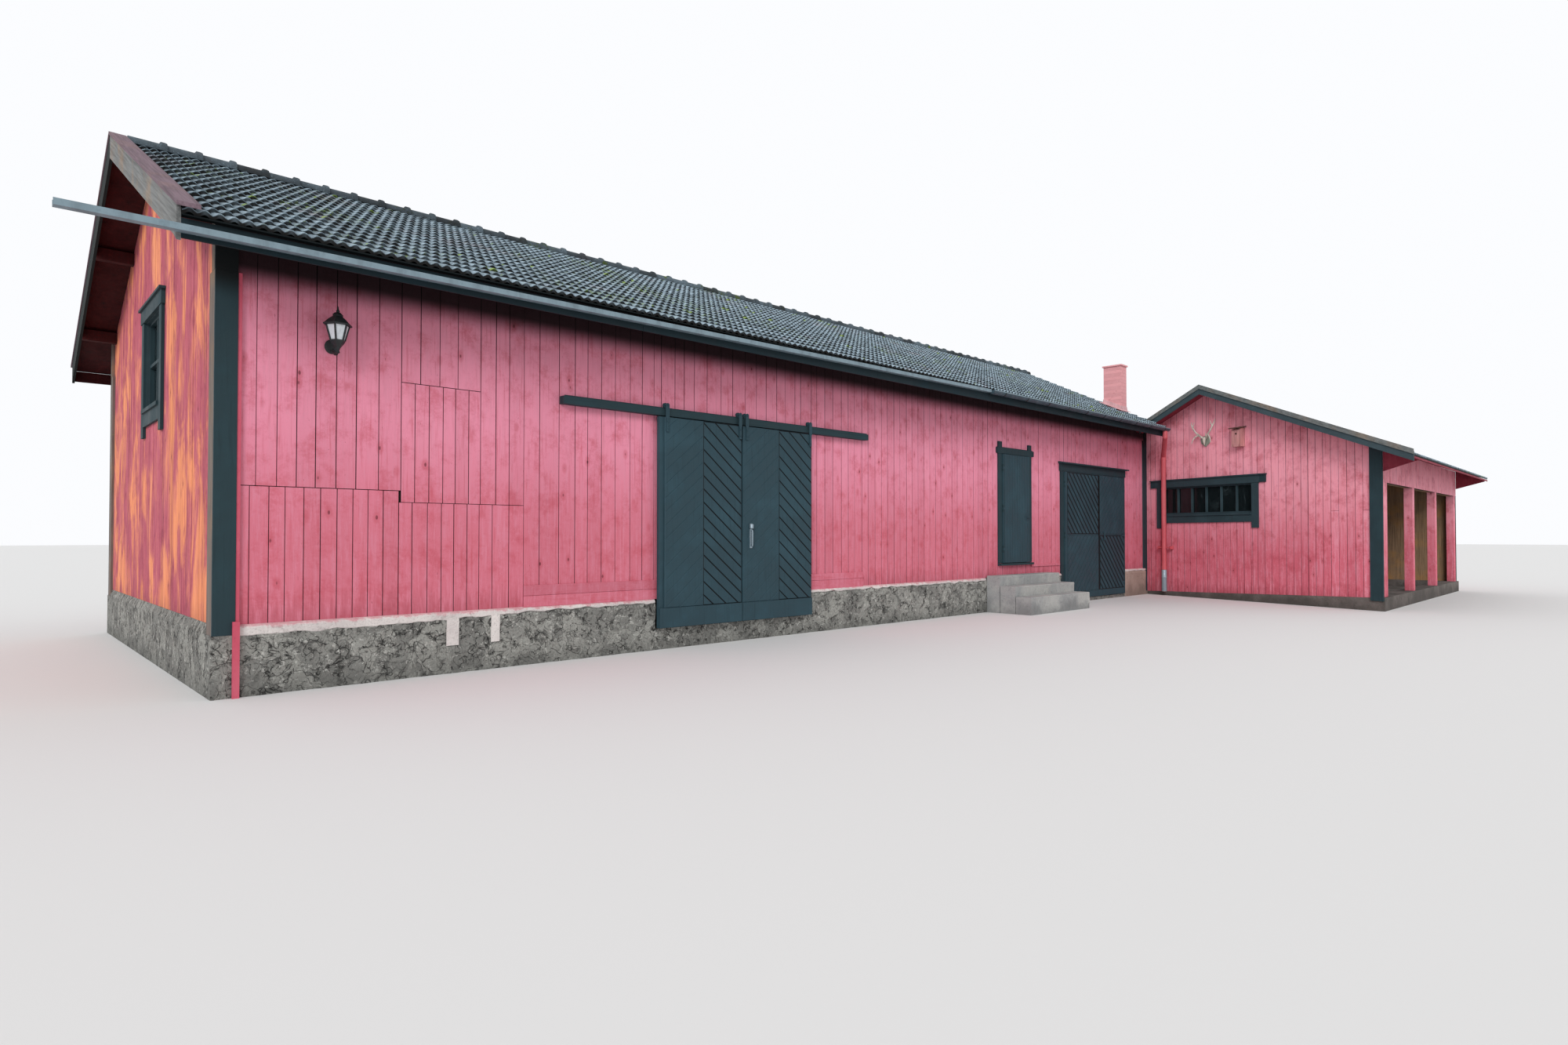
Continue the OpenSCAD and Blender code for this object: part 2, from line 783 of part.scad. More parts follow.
module sliding_track() {
    color(black) {
        block([track_x0, -track_t, track_z], [track_x1, 0, rail_z]);
        block([track_x0 + 20, wheel_y - rail_t / 2, rail_z - 1],
            [track_x1 - 20, wheel_y + rail_t / 2, rail_z + rail_h]);
    }
}

// A hanger: a strap bolted to the leaf, and a grooved wheel that runs on the rail
module hanger(x) {
    groove = rail_h - 3;
    axle_z = rail_z + rail_h + wheel_r - groove + 0.5;
    strap_t = 8;
    translate([x, 0, 0]) {
        block([-strap_w / 2, leaf_front - kick_t - strap_t, track_z - 30],
            [strap_w / 2, leaf_front - kick_t, axle_z]);
        translate([0, leaf_front - kick_t, axle_z]) rotate([90, 0, 0])
            cylinder(h = strap_t, r = strap_w / 2, $fn = 32);
        block([-strap_w / 3, leaf_front - kick_t - strap_t, track_z - 190],
            [strap_w / 3, leaf_front, track_z - 29]);
        for (z = [track_z - 70, track_z - 150]) translate([0, leaf_front - kick_t - strap_t, z])
            rotate([90, 0, 0]) cylinder(h = 7, r = 10, $fn = 6);
        translate([0, wheel_y + wheel_w / 2, axle_z]) rotate([90, 0, 0])
            cylinder(h = wheel_y + wheel_w / 2 - leaf_front + kick_t + strap_t + 6, r = 7, $fn = 24);
        translate([0, wheel_y + wheel_w / 2, axle_z]) rotate([90, 0, 0]) rotate_extrude($fn = 48)
            polygon([[0, 0], [wheel_r, 0], [wheel_r, wheel_w / 2 - rail_t / 2 - 1.5],
                [wheel_r - groove, wheel_w / 2 - rail_t / 2 - 1],
                [wheel_r - groove, wheel_w / 2 + rail_t / 2 + 1],
                [wheel_r, wheel_w / 2 + rail_t / 2 + 1.5], [wheel_r, wheel_w], [0, wheel_w]]);
    }
}

// A leaf with its left edge at x: boarding, a set-back stile, a kick board and two hangers
module sliding_leaf(x, stile) {
    back = -slide_off;
    block([x + stile, leaf_front, slide_z], [x + slide_w, back, slide_z + slide_h]);
    block([x, leaf_front + 12, slide_z], [x + stile + 1, back, slide_z + slide_h]);
    block([x, leaf_front - kick_t, slide_z], [x + slide_w, leaf_front + 13, slide_z + kick_h]);
    hanger(x + hanger_in + stile / 2);
    hanger(x + slide_w - hanger_in / 2);
}

module left_sliding_door() {
    color(black) sliding_leaf(slide_x, 70);
}

module right_sliding_door() {
    x = slide_x + slide_w + slide_gap;
    color(black) sliding_leaf(x, 15);
    color(steel) translate([x + 140, leaf_front, slide_z + slide_h * 0.38]) {
        block([-15, -8, -20], [15, 0, 290]);
        rod([0, -40, 15], [0, -40, 200], 8);
        for (z = [15, 200]) rod([0, -40, z], [0, 0, z], 8);
        block([-22, -32, 225], [22, -7, 285]);
    }
}

// A casing of two jambs and a head round an opening in the front wall
module casing(x0, x1, z0, z1, head, wide, stub) {
    block([x0 - casing_w, -casing_t, z0], [x0, 0, z1 + head + stub]);
    block([x1, -casing_t, z0], [x1 + wide, 0, z1 + head + stub]);
    block([x0 - casing_w - head_lap, -casing_t - 8, z1], [x1 + wide + head_lap, 0, z1 + head]);
}

// A hinge at a leaf's outer face: the middle knuckle is the leaf's, the outer two the frame's
leaf_y = -5;
pin_y = leaf_y - leaf_t;
knuckle_l = hinge_l / 3;

module leaf_hinges(x, side, levels) {
    for (z = levels) {
        translate([x, pin_y, z - knuckle_l / 2 + 0.5]) cylinder(h = knuckle_l - 1, r = knuckle_r, $fn = 32);
        block([side > 0 ? x : x - 160, pin_y - 5, z - 18], [side > 0 ? x + 160 : x, pin_y + 1, z + 18]);
    }
}

module frame_hinges(x, side, levels) {
    for (z = levels) for (k = [-1, 1]) translate([x, pin_y, z + k * knuckle_l]) {
        translate([0, 0, -knuckle_l / 2]) cylinder(h = knuckle_l, r = knuckle_r, $fn = 32);
        translate([side > 0 ? -knuckle_r - 4 : knuckle_r - 4, 0, -knuckle_l / 2])
            cube([8, -pin_y - casing_t + 1, knuckle_l]);
    }
}

// The room that the frame's knuckles need in a leaf's edge
module hinge_room(x, levels) {
    for (z = levels) for (k = [-1, 1]) translate([x, pin_y, z + k * knuckle_l - knuckle_l / 2 - 5])
        cylinder(h = knuckle_l + 10, r = knuckle_r + 5, $fn = 32);
}

module hinged_leaf(x0, x1, z0, h, pin_x, side, levels) {
    difference() {
        block([x0, pin_y, z0], [x1, leaf_y, z0 + h]);
        hinge_room(pin_x, levels);
    }
    leaf_hinges(pin_x, side, levels);
}

entry_hinges = [entry_z + hinge_in, entry_z + entry_h / 2, entry_z + entry_h - hinge_in];
double_hinges = [double_z + hinge_in, double_z + double_h / 2, double_z + double_h - hinge_in];

module entrance_casing() {
    color(black) {
        casing(entry_x - leaf_gap, entry_x + entry_w + leaf_gap, entry_z,
            entry_z + entry_h + leaf_gap, entry_head, casing_w, 100);
        block([entry_x - leaf_gap - casing_w, -plinth_out - 40, entry_z - 45],
            [entry_x + entry_w + leaf_gap + casing_w, 0, entry_z - leaf_gap]);
        frame_hinges(entry_x, 1, entry_hinges);
    }
}

module entrance_door() {
    color(black) hinged_leaf(entry_x, entry_x + entry_w, entry_z, entry_h, entry_x, 1, entry_hinges);
    color(steel) translate([entry_x + entry_w - 70, pin_y, entry_z + 830]) {
        block([-20, -6, -110], [20, 1, 90]);
        rod([0, -50, 0], [0, 0, 0], 9);
        rod([-110, -50, 0], [9, -50, 0], 9);
    }
}

module double_door_casing() {
    x0 = double_x - leaf_gap;
    x1 = double_x1 + leaf_gap;
    top = double_z + double_h + leaf_gap;
    color(black) {
        casing(x0, x1, double_z, top, double_head, narrow_casing_w, 0);
        along_x(x0 - casing_w - 2 * head_lap, x1 + narrow_casing_w + 2 * head_lap)
            polygon([[0, top + double_head - 1], [-cap_out, top + double_head - 1],
                [-cap_out, top + double_head + cap_edge_h], [0, top + double_head + cap_h]]);
        frame_hinges(double_x, 1, double_hinges);
        frame_hinges(double_x1, -1, double_hinges);
    }
}

module double_door_left() {
    color(black) hinged_leaf(double_x, double_x + double_wl, double_z, double_h, double_x, 1,
        double_hinges);
}

module double_door_right() {
    color(black) hinged_leaf(double_x1 - double_wr, double_x1, double_z, double_h, double_x1, -1,
        double_hinges);
    color(steel) translate([double_x1 - double_wr + 130, pin_y, double_z + double_h / 2 - 90]) {
        for (z = [0, 160]) rod([0, -45, z], [0, 0, z], 8);
        rod([0, -45, -8], [0, -45, 168], 8);
    }
}

// A glazed sash in an opening, with upright bars and level bars
module sash(w, h, cols, rows) {
    difference() {
        cube([w, sash_t, h]);
        pane_w = (w - 2 * bar_w - (cols - 1) * bar_w) / cols;
        pane_h = (h - 2 * bar_w - (rows - 1) * bar_w) / rows;
        for (i = [0 : cols - 1], j = [0 : rows - 1])
            translate([bar_w + i * (pane_w + bar_w), -1, bar_w + j * (pane_h + bar_w)])
                cube([pane_w, sash_t + 2, pane_h]);
    }
}

// A window's casing outside the wall
module window_casing(w, h) {
    side = win_casing_w;
    low = sill_h + 1;
    for (x = [-side, w]) translate([x, -casing_t, -win_tail]) cube([side, casing_t, h + win_tail]);
    translate([-side - head_lap, -casing_t - 8, h])
        cube([w + 2 * (side + head_lap), casing_t + 8, win_board_h]);
    translate([-side - 2 * head_lap, -casing_t - head_lap, h + win_board_h - 1])
        cube([w + 2 * (side + 2 * head_lap), casing_t + head_lap, win_cap_h]);
    translate([-1, -casing_t, 2 - low - win_board_h]) cube([w + 2, casing_t, win_board_h]);
    translate([-1, -casing_t, -low]) cube([w + 2, casing_t - 1, low]);
    translate([0, -casing_t - 20, -sill_h]) cube([w, casing_t + 20 + sash_in, sill_h]);
}

module gable_window_place() {
    translate([0, gable_win_y + gable_win_w / 2, gable_win_z]) rotate([0, 0, -90]) children();
}

module gable_window() {
    color(black) gable_window_place() {
        translate([0, sash_in, 0]) sash(gable_win_w, gable_win_h, 2, 2);
        window_casing(gable_win_w, gable_win_h);
    }
}

module wing_window_place() {
    in_wing() translate([wing_win_x, 0, wing_win_z]) children();
}

module wing_window() {
    color(black) wing_window_place() {
        translate([0, sash_in, 0]) sash(wing_win_w, wing_win_h, 6, 1);
        window_casing(wing_win_w, wing_win_h);
    }
}

module window_glass() {
    color([0.3, 0.4, 0.45, 0.5]) {
        gable_window_place() translate([0, sash_in + sash_t, 0])
            cube([gable_win_w, glass_t, gable_win_h]);
        wing_window_place() translate([0, sash_in + sash_t, 0])
            cube([wing_win_w, glass_t, wing_win_h]);
    }
}

// Wing
module wing_gable_wall() {
    color(red) difference() {
        intersection() {
            in_wing() along_y(0, wall_t) polygon([[-corner_back, wing_sill(0)], [0, wing_sill(0)],
                [wing_front, wing_sill(wing_front)], [wing_front, wing_ridge_z],
                [-corner_back, wing_ridge_z]]);
            block([0, wing_right_y, 0], [main_far, main_w, far / 4]);
        }
        in_wing() translate([wing_win_x, -1, wing_win_z - sill_h])
            cube([wing_win_w, wall_t + 2, wing_win_h + sill_h]);
        over_wing_ceiling();
    }
}

// The wing's right side is open between posts under a boarded band
wing_bay_x0 = wing_corner_x + 2 * wall_t + wing_post_w;
wing_bay_pitch = (wing_end_x - wall_t - wing_bay_x0) / wing_bays;

module wing_side_walls() {
    x1 = wing_end_x - wall_t - seat;
    color(red) {
        intersection() {
            along_x(0, x1) polygon([[wing_right_y, wing_bay_top],
                [wing_right_y + wall_t, wing_bay_top],
                [wing_right_y + wall_t, wing_wall_top(wing_right_y + wall_t)],
                [wing_right_y, wing_wall_top(wing_right_y)]]);
            wing_side(-wall_t);
        }
        intersection() {
            block([0, wing_right_y, wing_sill_high],
                [wing_bay_x0, wing_right_y + wall_t, wing_bay_top - seat]);
            wing_side(-wall_t);
        }
        for (i = [1 : wing_bays]) {
            x = wing_bay_x0 + i * wing_bay_pitch - seat;
            block([x - wing_post_w, wing_right_y, wing_sill_high],
                [x, wing_right_y + wall_t, wing_bay_top - seat]);
        }
        intersection() {
            along_x(0, x1) polygon([[wing_left_y - wall_t, wing_sill_high],
                [wing_left_y, wing_sill_high], [wing_left_y, wing_wall_top(wing_left_y)],
                [wing_left_y - wall_t, wing_wall_top(wing_left_y - wall_t)]]);
            wing_side(end_out);
        }
        along_x(wing_end_x - wall_t, wing_end_x) polygon([[wing_right_y, wing_sill_high],
            [wing_left_y, wing_sill_high], [wing_left_y, wing_wall_top(wing_left_y)],
            [wing_ridge_y, wing_wall_top(wing_ridge_y)], [wing_right_y, wing_wall_top(wing_right_y)]]);
    }
}

// A stretch of the wing's roof between two distances, from a plane in front of the gable
module wing_slab(y0, y1, front) {
    intersection() {
        along_x(0, wing_end_x + wing_gable_out) polygon([[y0, wing_top(y0)], [y1, wing_top(y1)],
            [y1, wing_under(y1)], [y0, wing_under(y0)]]);
        wing_side(front);
    }
}

module wing_roof() {
    color(tile) {
        wing_slab(wing_eave_y, wing_ridge_y, wing_gable_out);
        wing_slab(wing_ridge_y, 0, wing_gable_out);
        wing_slab(0, wing_left_y + wing_eave_out, end_out);
    }
}

// An outline between two places along the roof, from low to high past the roof's face
module roof_band(y0, y1, low, high) {
    along_x(0, wing_end_x) polygon([[y0, wing_top(y0) + high], [y1, wing_top(y1) + high],
        [y1, wing_top(y1) + low], [y0, wing_top(y0) + low]]);
}

// A board along both slopes of the wing's gable verge
module verge_board(out, thick, low, high) {
    intersection() {
        in_wing() block([-main_w, -wing_gable_out - out - thick, 0],
            [main_w, -wing_gable_out - out, far / 4]);
        union() {
            roof_band(wing_ridge_y - 1, wing_eave_y, low, high);
            roof_band(wing_ridge_y + 1, -corner_t - 10, low, high);
        }
    }
}

module wing_barge_boards() {
    color(black) verge_board(0, barge_t, -wing_barge_low, 20);
}

module wing_verge_boards() {
    color(grey_wood) verge_board(barge_t, verge_board_t, -verge_board_low, verge_board_up);
}

// Boards that close the wing's right eave at both gables
module wing_eave_ends() {
    board_t = 25;
    board_h = 160;
    y1 = wing_eave_y + 20;
    z1 = wing_under(y1) - 20;
    module outline(x0, x1, y0) {
        along_x(x0, x1) polygon([[y0, wing_wall_top(y0)], [y1, wing_wall_top(y1)], [y1, z1],
            [y0, z1 - board_h]]);
    }
    color(red) {
        intersection() {
            in_wing() block([wing_front + corner_t + 2, 0, 0], [main_w, board_t, far / 4]);
            outline(0, main_far, wing_right_y);
        }
        outline(wing_end_x - board_t, wing_end_x, wing_right_y - 2);
    }
}

// Steps and small fittings
module granite_steps() {
    x1 = entry_x + entry_w + step_right;
    color(stone) for (i = [0 : 2])
        block([x1 - step_w, -(i + 1) * step_d, 0],
            [x1, -i * step_d - (i == 0 ? plinth_out : 1), step_top - i * step_h]);
}

// A six-sided lantern on a scrolled arm
module wall_lantern() {
    cap_r = 120;
    out = 185;
    color(black) translate([lantern_x, -out, lantern_z]) {
        translate([0, 0, -30]) cylinder(h = 60, r1 = 22, r2 = 60, $fn = 6);
        translate([0, 0, 29]) cylinder(h = 130, r1 = 58, r2 = 90, $fn = 6);
        translate([0, 0, 158]) cylinder(h = 12, r = cap_r, $fn = 6);
        translate([0, 0, 169]) cylinder(h = 75, r1 = cap_r - 8, r2 = 40, $fn = 6);
        translate([0, 0, 243]) cylinder(h = 30, r1 = 40, r2 = 12, $fn = 6);
        translate([0, 0, 272]) cylinder(h = 60, r1 = 9, r2 = 3, $fn = 16);
        rod([0, 0, -70], [0, 0, -29], 14);
        rod([0, 0, -70], [0, out - 8, -40], 12);
        translate([0, out - 12, 0]) rotate([-90, 0, 0]) cylinder(h = 12, r = 55, $fn = 32);
        rod([0, out - 60, -58], [0, out - 12, -4], 10);
    }
}

module nest_box() {
    w = 190;
    d = 150;
    h = 380;
    color(red) in_wing() translate([nest_x, 0, nest_z]) {
        difference() {
            block([-w / 2, -d, 0], [w / 2, 0, h]);
            block([-w / 2 + 18, -d + 18, 18], [w / 2 - 18, -18, h - 18]);
            translate([0, -d - 1, h * 0.7]) rotate([-90, 0, 0]) cylinder(h = 30, r = 20, $fn = 32);
        }
        along_x(-w / 2 - 35, w / 2 + 35) polygon([[-d - 50, h - 12], [0, h + 18], [0, h + 42],
            [-d - 50, h + 12]]);
    }
}

// A pair of antlers on a board shield
module antler_trophy() {
    color(grey_wood) in_wing() translate([trophy_x, 0, trophy_z]) {
        block([-115, -28, 0], [115, 0, 235]);
        translate([0, -45, 150]) sphere(r = 38, $fn = 32);
        for (s = [-1, 1]) {
            rod([s * 18, -30, 170], [s * 110, -90, 250], 15);
            rod([s * 110, -90, 250], [s * 240, -110, 420], 13);
            rod([s * 240, -110, 420], [s * 290, -80, 560], 10);
            rod([s * 110, -90, 250], [s * 210, -150, 150], 11);
            rod([s * 210, -150, 150], [s * 240, -160, 60], 9);
            rod([s * 240, -110, 420], [s * 190, -120, 540], 9);
            translate([s * 110, -90, 250]) sphere(r = 15, $fn = 24);
            translate([s * 240, -110, 420]) sphere(r = 13, $fn = 24);
            translate([s * 210, -150, 150]) sphere(r = 11, $fn = 24);
        }
    }
}

// A guard over a cable, up the plinth and along the corner board
module cable_guard() {
    x = corner_w + 2;
    color(red) {
        block([x - 25, -plinth_out - 28, 0], [x + 25, -plinth_out, plinth_top + 30]);
        block([x, -22, plinth_top], [x + 27, 0, soffit_z]);
        block([x, -plinth_out - 1, plinth_top], [x + 25, -21, plinth_top + 30]);
    }
}

front_plinth();
back_plinth();
wing_plinth();
floor_slabs();
raised_floor();
front_wall_left();
walls_round_doors();
front_wall_middle();
front_wall_between_doors();
front_wall_end();
left_gable_wall();
rear_wall();
end_gable_wall();
main_roof_front();
main_roof_rear();
main_ridge();
barge_boards();
verge_planks();
gable_purlins();
eave_boards();
box_gutter();
round_gutter();
downpipe();
chimney();
corner_boards();
gable_corner_boards();
sliding_track();
left_sliding_door();
right_sliding_door();
entrance_casing();
entrance_door();
double_door_casing();
double_door_left();
double_door_right();
gable_window();
wing_window();
window_glass();
wing_gable_wall();
wing_side_walls();
wing_roof();
wing_barge_boards();
wing_verge_boards();
wing_eave_ends();
granite_steps();
wall_lantern();
nest_box();
antler_trophy();
cable_guard();
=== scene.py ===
import math
import random

import bmesh
import bpy
from bpy.props import FloatProperty, FloatVectorProperty, IntProperty, PointerProperty
from mathutils import Matrix, Vector, noise


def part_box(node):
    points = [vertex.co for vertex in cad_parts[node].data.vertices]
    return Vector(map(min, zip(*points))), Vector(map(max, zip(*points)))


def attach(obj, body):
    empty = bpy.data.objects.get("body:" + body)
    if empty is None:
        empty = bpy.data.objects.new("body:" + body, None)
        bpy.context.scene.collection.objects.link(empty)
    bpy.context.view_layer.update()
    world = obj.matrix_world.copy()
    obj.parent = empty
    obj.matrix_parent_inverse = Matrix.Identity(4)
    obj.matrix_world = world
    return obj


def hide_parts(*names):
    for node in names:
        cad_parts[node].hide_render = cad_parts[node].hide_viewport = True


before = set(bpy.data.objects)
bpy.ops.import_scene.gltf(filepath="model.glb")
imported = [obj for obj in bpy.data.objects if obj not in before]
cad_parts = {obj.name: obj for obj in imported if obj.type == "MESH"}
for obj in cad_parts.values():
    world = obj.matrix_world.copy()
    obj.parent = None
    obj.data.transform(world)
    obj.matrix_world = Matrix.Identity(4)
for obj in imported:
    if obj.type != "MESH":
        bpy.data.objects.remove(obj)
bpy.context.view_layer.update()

bl_info = {
    "name": "Red timber barn",
    "version": (1, 0, 0),
    "blender": (4, 5, 0),
    "location": "View3D > Sidebar > Barn",
    "description": "Boards, tiles, stonework and fittings of a red timber barn with a skewed side wing",
    "category": "Object",
}

# The barn's frame, in metres, as the solids have it
LENGTH = 18.15
DEPTH = 6.7
WALL = 0.15
PLINTH = 0.6
ROOF = 0.09
PITCH = math.radians(25)
SLOPE = math.tan(PITCH)
EAVE_OUT = 0.75
EAVE_Z = 3.75
RIDGE_Y = DEPTH / 2
RIDGE_Z = EAVE_Z + (RIDGE_Y + EAVE_OUT) * SLOPE
ROOF_DOWN = ROOF / math.cos(PITCH)
GABLE_OUT = 0.365
SOFFIT_Z = 3.525
# The side wing, turned by SKEW. The barn's end wall stands END_OUT before the wing's gable
SKEW = math.radians(18.3)
END_OUT = 0.46
VERGE_OUT = 0.42
WING_LENGTH = 6.45
WING_PITCH = math.radians(23)
WING_FRONT = 5.09
WING_RIDGE = 1.6
WING_TOP = 4.48
WING_VERGE = 0.37
WING_EAVE = 0.57
WING_SLOPE = math.tan(WING_PITCH) / math.cos(SKEW)
WING_ROOF_DOWN = ROOF * math.hypot(1, WING_SLOPE)
WING_RIDGE_Y = -WING_RIDGE * math.cos(SKEW)
WING_RIGHT_Y = -WING_FRONT * math.cos(SKEW)
WING_LEFT_Y = 2 * WING_RIDGE_Y - WING_RIGHT_Y
WING_CORNER_X = LENGTH - WING_FRONT * math.sin(SKEW)
WING_END_X = LENGTH + WING_LENGTH
BAY_TOP = 2.3
# Openings: left and right edge, foot and top
SLIDING = (4.45, 6.80, PLINTH, 2.69)
ENTRANCE = (11.975, 12.785, 0.839, 2.77)
DOUBLE = (14.255, 16.853, PLINTH, 2.575)
GABLE_WINDOW = (2.745, 3.775, 2.76, 3.76)
WING_WINDOW = (0.47, 2.635, 1.815, 2.42)
SILL_DROP = 0.041


def srgb(r, g, b):
    """A colour written as 0 to 255 in the usual way, made linear."""
    return tuple(v / 3294.6 if v <= 10 else ((v / 255 + 0.055) / 1.055) ** 2.4 for v in (r, g, b))


def dim(tint, share, more=0.0):
    """A colour made darker, or lighter where share is over 1."""
    return tuple(v * share + more for v in tint)


def colour(name, description, default):
    return FloatVectorProperty(name=name, description=description, subtype="COLOR", size=3,
                               min=0, max=1, default=default)


def length(name, description, default):
    return FloatProperty(name=name, description=description, unit="LENGTH", min=0.0005,
                         default=default)


class BarnSizes(bpy.types.PropertyGroup):
    board: length("Board width", "Usual width of a wall board", 0.158)
    groove: length("Board joint", "Width of the bevel on each edge of a wall board", 0.0035)
    gap: length("Board gap", "Usual gap on each side of a wall board", 0.0014)
    proud: length("Board unevenness", "How much the boards' faces differ", 0.003)
    tile_wave: length("Tile wave", "Width of one wave of the pantiles", 0.095)
    tile_course: length("Tile course", "Visible length of one course of pantiles", 0.266)
    tile_rise: length("Tile rise", "Height of one wave of the pantiles", 0.028)
    ridge_tile: length("Ridge tile", "Visible length of one ridge tile", 0.33)
    door_board: length("Sliding door board", "Width of a herringbone board", 0.126)
    roughness: length("Stone roughness", "Depth of the hollows in the stonework", 0.030)
    seed: IntProperty(name="Seed", description="Number that the unevenness starts from",
                      default=7, min=0)


class BarnColours(bpy.types.PropertyGroup):
    red: colour("Wall red", "Faded red paint of the walls", srgb(208, 112, 130))
    red_dark: colour("Old red", "Red paint where it is thick or damp", srgb(184, 70, 82))
    # The bleached red also colours the gable's orange patches, which are painted dappled sunlight as well
    # as sun-bleached paint.
    red_sun: colour("Bleached red", "Paint that the sun has bleached", srgb(246, 156, 104))
    trim: colour("Black trim", "Black-green paint of the casings and corner boards",
                 srgb(34, 54, 60))
    door: colour("Door paint", "Black-green paint of the doors", srgb(42, 65, 74))
    bare: colour("Bare wood", "Weathered grey wood", srgb(124, 112, 106))
    tile: colour("Tiles", "Dark grey pantiles", srgb(118, 136, 148))
    moss: colour("Moss", "Moss on the tiles", srgb(104, 128, 44))
    stone: colour("Plinth", "Stone and mortar of the plinth", srgb(130, 130, 126))
    zinc: colour("Galvanised steel", "Weathered galvanised steel", srgb(150, 166, 176))


# Materials
def put(tree, socket, value):
    """Sets a socket to a number, a colour or another node's output."""
    if isinstance(value, bpy.types.NodeSocket):
        tree.links.new(value, socket)
    elif isinstance(value, tuple) and len(socket.default_value) == 4:
        socket.default_value = (*value, 1)
    else:
        socket.default_value = value


def add_node(tree, kind, inputs=(), **settings):
    """A new node. inputs has pairs of a socket's name or number and what put takes."""
    node = tree.nodes.new("ShaderNode" + kind)
    for key, value in settings.items():
        setattr(node, key, value)
    for key, value in inputs:
        put(tree, node.inputs[key], value)
    return node


class Finish:
    """A procedural material that is put together coat by coat."""

    def __init__(self, tint, **shader):
        self.base = tint
        self.mat = bpy.data.materials.new("finish")
        self.mat.use_nodes = True
        self.tree = self.mat.node_tree
        self.shader = self.tree.nodes["Principled BSDF"]
        for key, value in shader.items():
            self.shader.inputs[key.replace("_", " ")].default_value = value
        self.place = self.node("TexCoord").outputs["Object"]

    def node(self, kind, *inputs, **settings):
        return add_node(self.tree, kind, inputs, **settings)

    def stretch(self, x, y, z):
        return self.node("Mapping", ("Scale", (x, y, z)), ("Vector", self.place)).outputs[0]

    def cloud(self, scale, detail=4, rough=0.55, place=None, bend=0):
        return self.node("TexNoise", ("Scale", scale), ("Detail", detail), ("Roughness", rough),
                         ("Distortion", bend), ("Vector", place or self.place)).outputs["Fac"]

    def cells(self, scale, place=None, feature="F1"):
        return self.node("TexVoronoi", ("Scale", scale), ("Vector", place or self.place),
                         feature=feature).outputs

    def curve(self, value, low, high, to_low=0.0, to_high=1.0):
        return self.node("MapRange", ("From Min", low), ("From Max", high), ("To Min", to_low),
                         ("To Max", to_high), ("Value", value),
                         interpolation_type="SMOOTHSTEP").outputs[0]

    def sum(self, how, a, b):
        return self.node("Math", (0, a), (1, b), operation=how).outputs[0]

    def blend(self, share, a, b, how="MIX"):
        return self.node("Mix", (0, share), (6, a), (7, b), data_type="RGBA",
                         blend_type=how).outputs[2]

    def coat(self, value, low, high, share, tint, rest=0.0):
        """Covers the base by share where value is over high, and by rest where it is under low."""
        self.base = self.blend(self.curve(value, low, high, rest, share), self.base, tint)

    def axis(self, which):
        return self.node("SeparateXYZ", (0, self.place)).outputs[which]

    def height(self):
        return self.axis(2)

    def ragged_height(self, value, amount):
        """The height, moved up and down by a pattern."""
        return self.sum("ADD", self.height(), self.curve(value, 0.3, 0.7, -amount, amount))

    def grain(self, along):
        """The place, drawn out along the wood."""
        return self.stretch(*{"x": (1.6, 36, 36), "y": (36, 1.6, 36), "z": (36, 36, 1.6)}[along])

    def lean(self, middle, slope):
        """Turns the pattern so that it runs along both slopes of a roof."""
        away = self.sum("ABSOLUTE", self.sum("SUBTRACT", self.axis(1), middle), 0.0)
        rise = self.sum("ADD", self.height(), self.sum("MULTIPLY", away, slope))
        self.place = self.node("CombineXYZ", (0, self.axis(0)), (1, away), (2, rise)).outputs[0]

    def bend(self, scale, amount):
        """The place, pushed about by a cloud."""
        cloud = self.node("TexNoise", ("Scale", scale), ("Vector", self.place)).outputs["Color"]
        return self.node("VectorMath", (0, cloud), (1, (amount, amount, amount)), (2, self.place),
                         operation="MULTIPLY_ADD").outputs[0]

    def relief(self, value, depth, strength=1.0):
        bump = self.node("Bump", ("Strength", strength), ("Distance", depth), ("Height", value))
        put(self.tree, self.shader.inputs["Normal"], bump.outputs[0])

    def done(self, rough):
        """Lightens or darkens the base by the tone of each point, which holds each piece's own tone and
        also painted shade and highlights, and sets the roughness.
        """
        tone = self.node("Attribute", attribute_name="tone").outputs["Fac"]
        lit = self.blend(self.curve(tone, 0.0, 1.0), self.base, (1, 1, 1), "SOFT_LIGHT")
        dark = self.blend(self.curve(tone, -1.0, 0.0, 1.0, 0.0), lit, (0, 0, 0))
        put(self.tree, self.shader.inputs["Base Color"], dark)
        put(self.tree, self.shader.inputs["Roughness"], rough)
        return self.mat


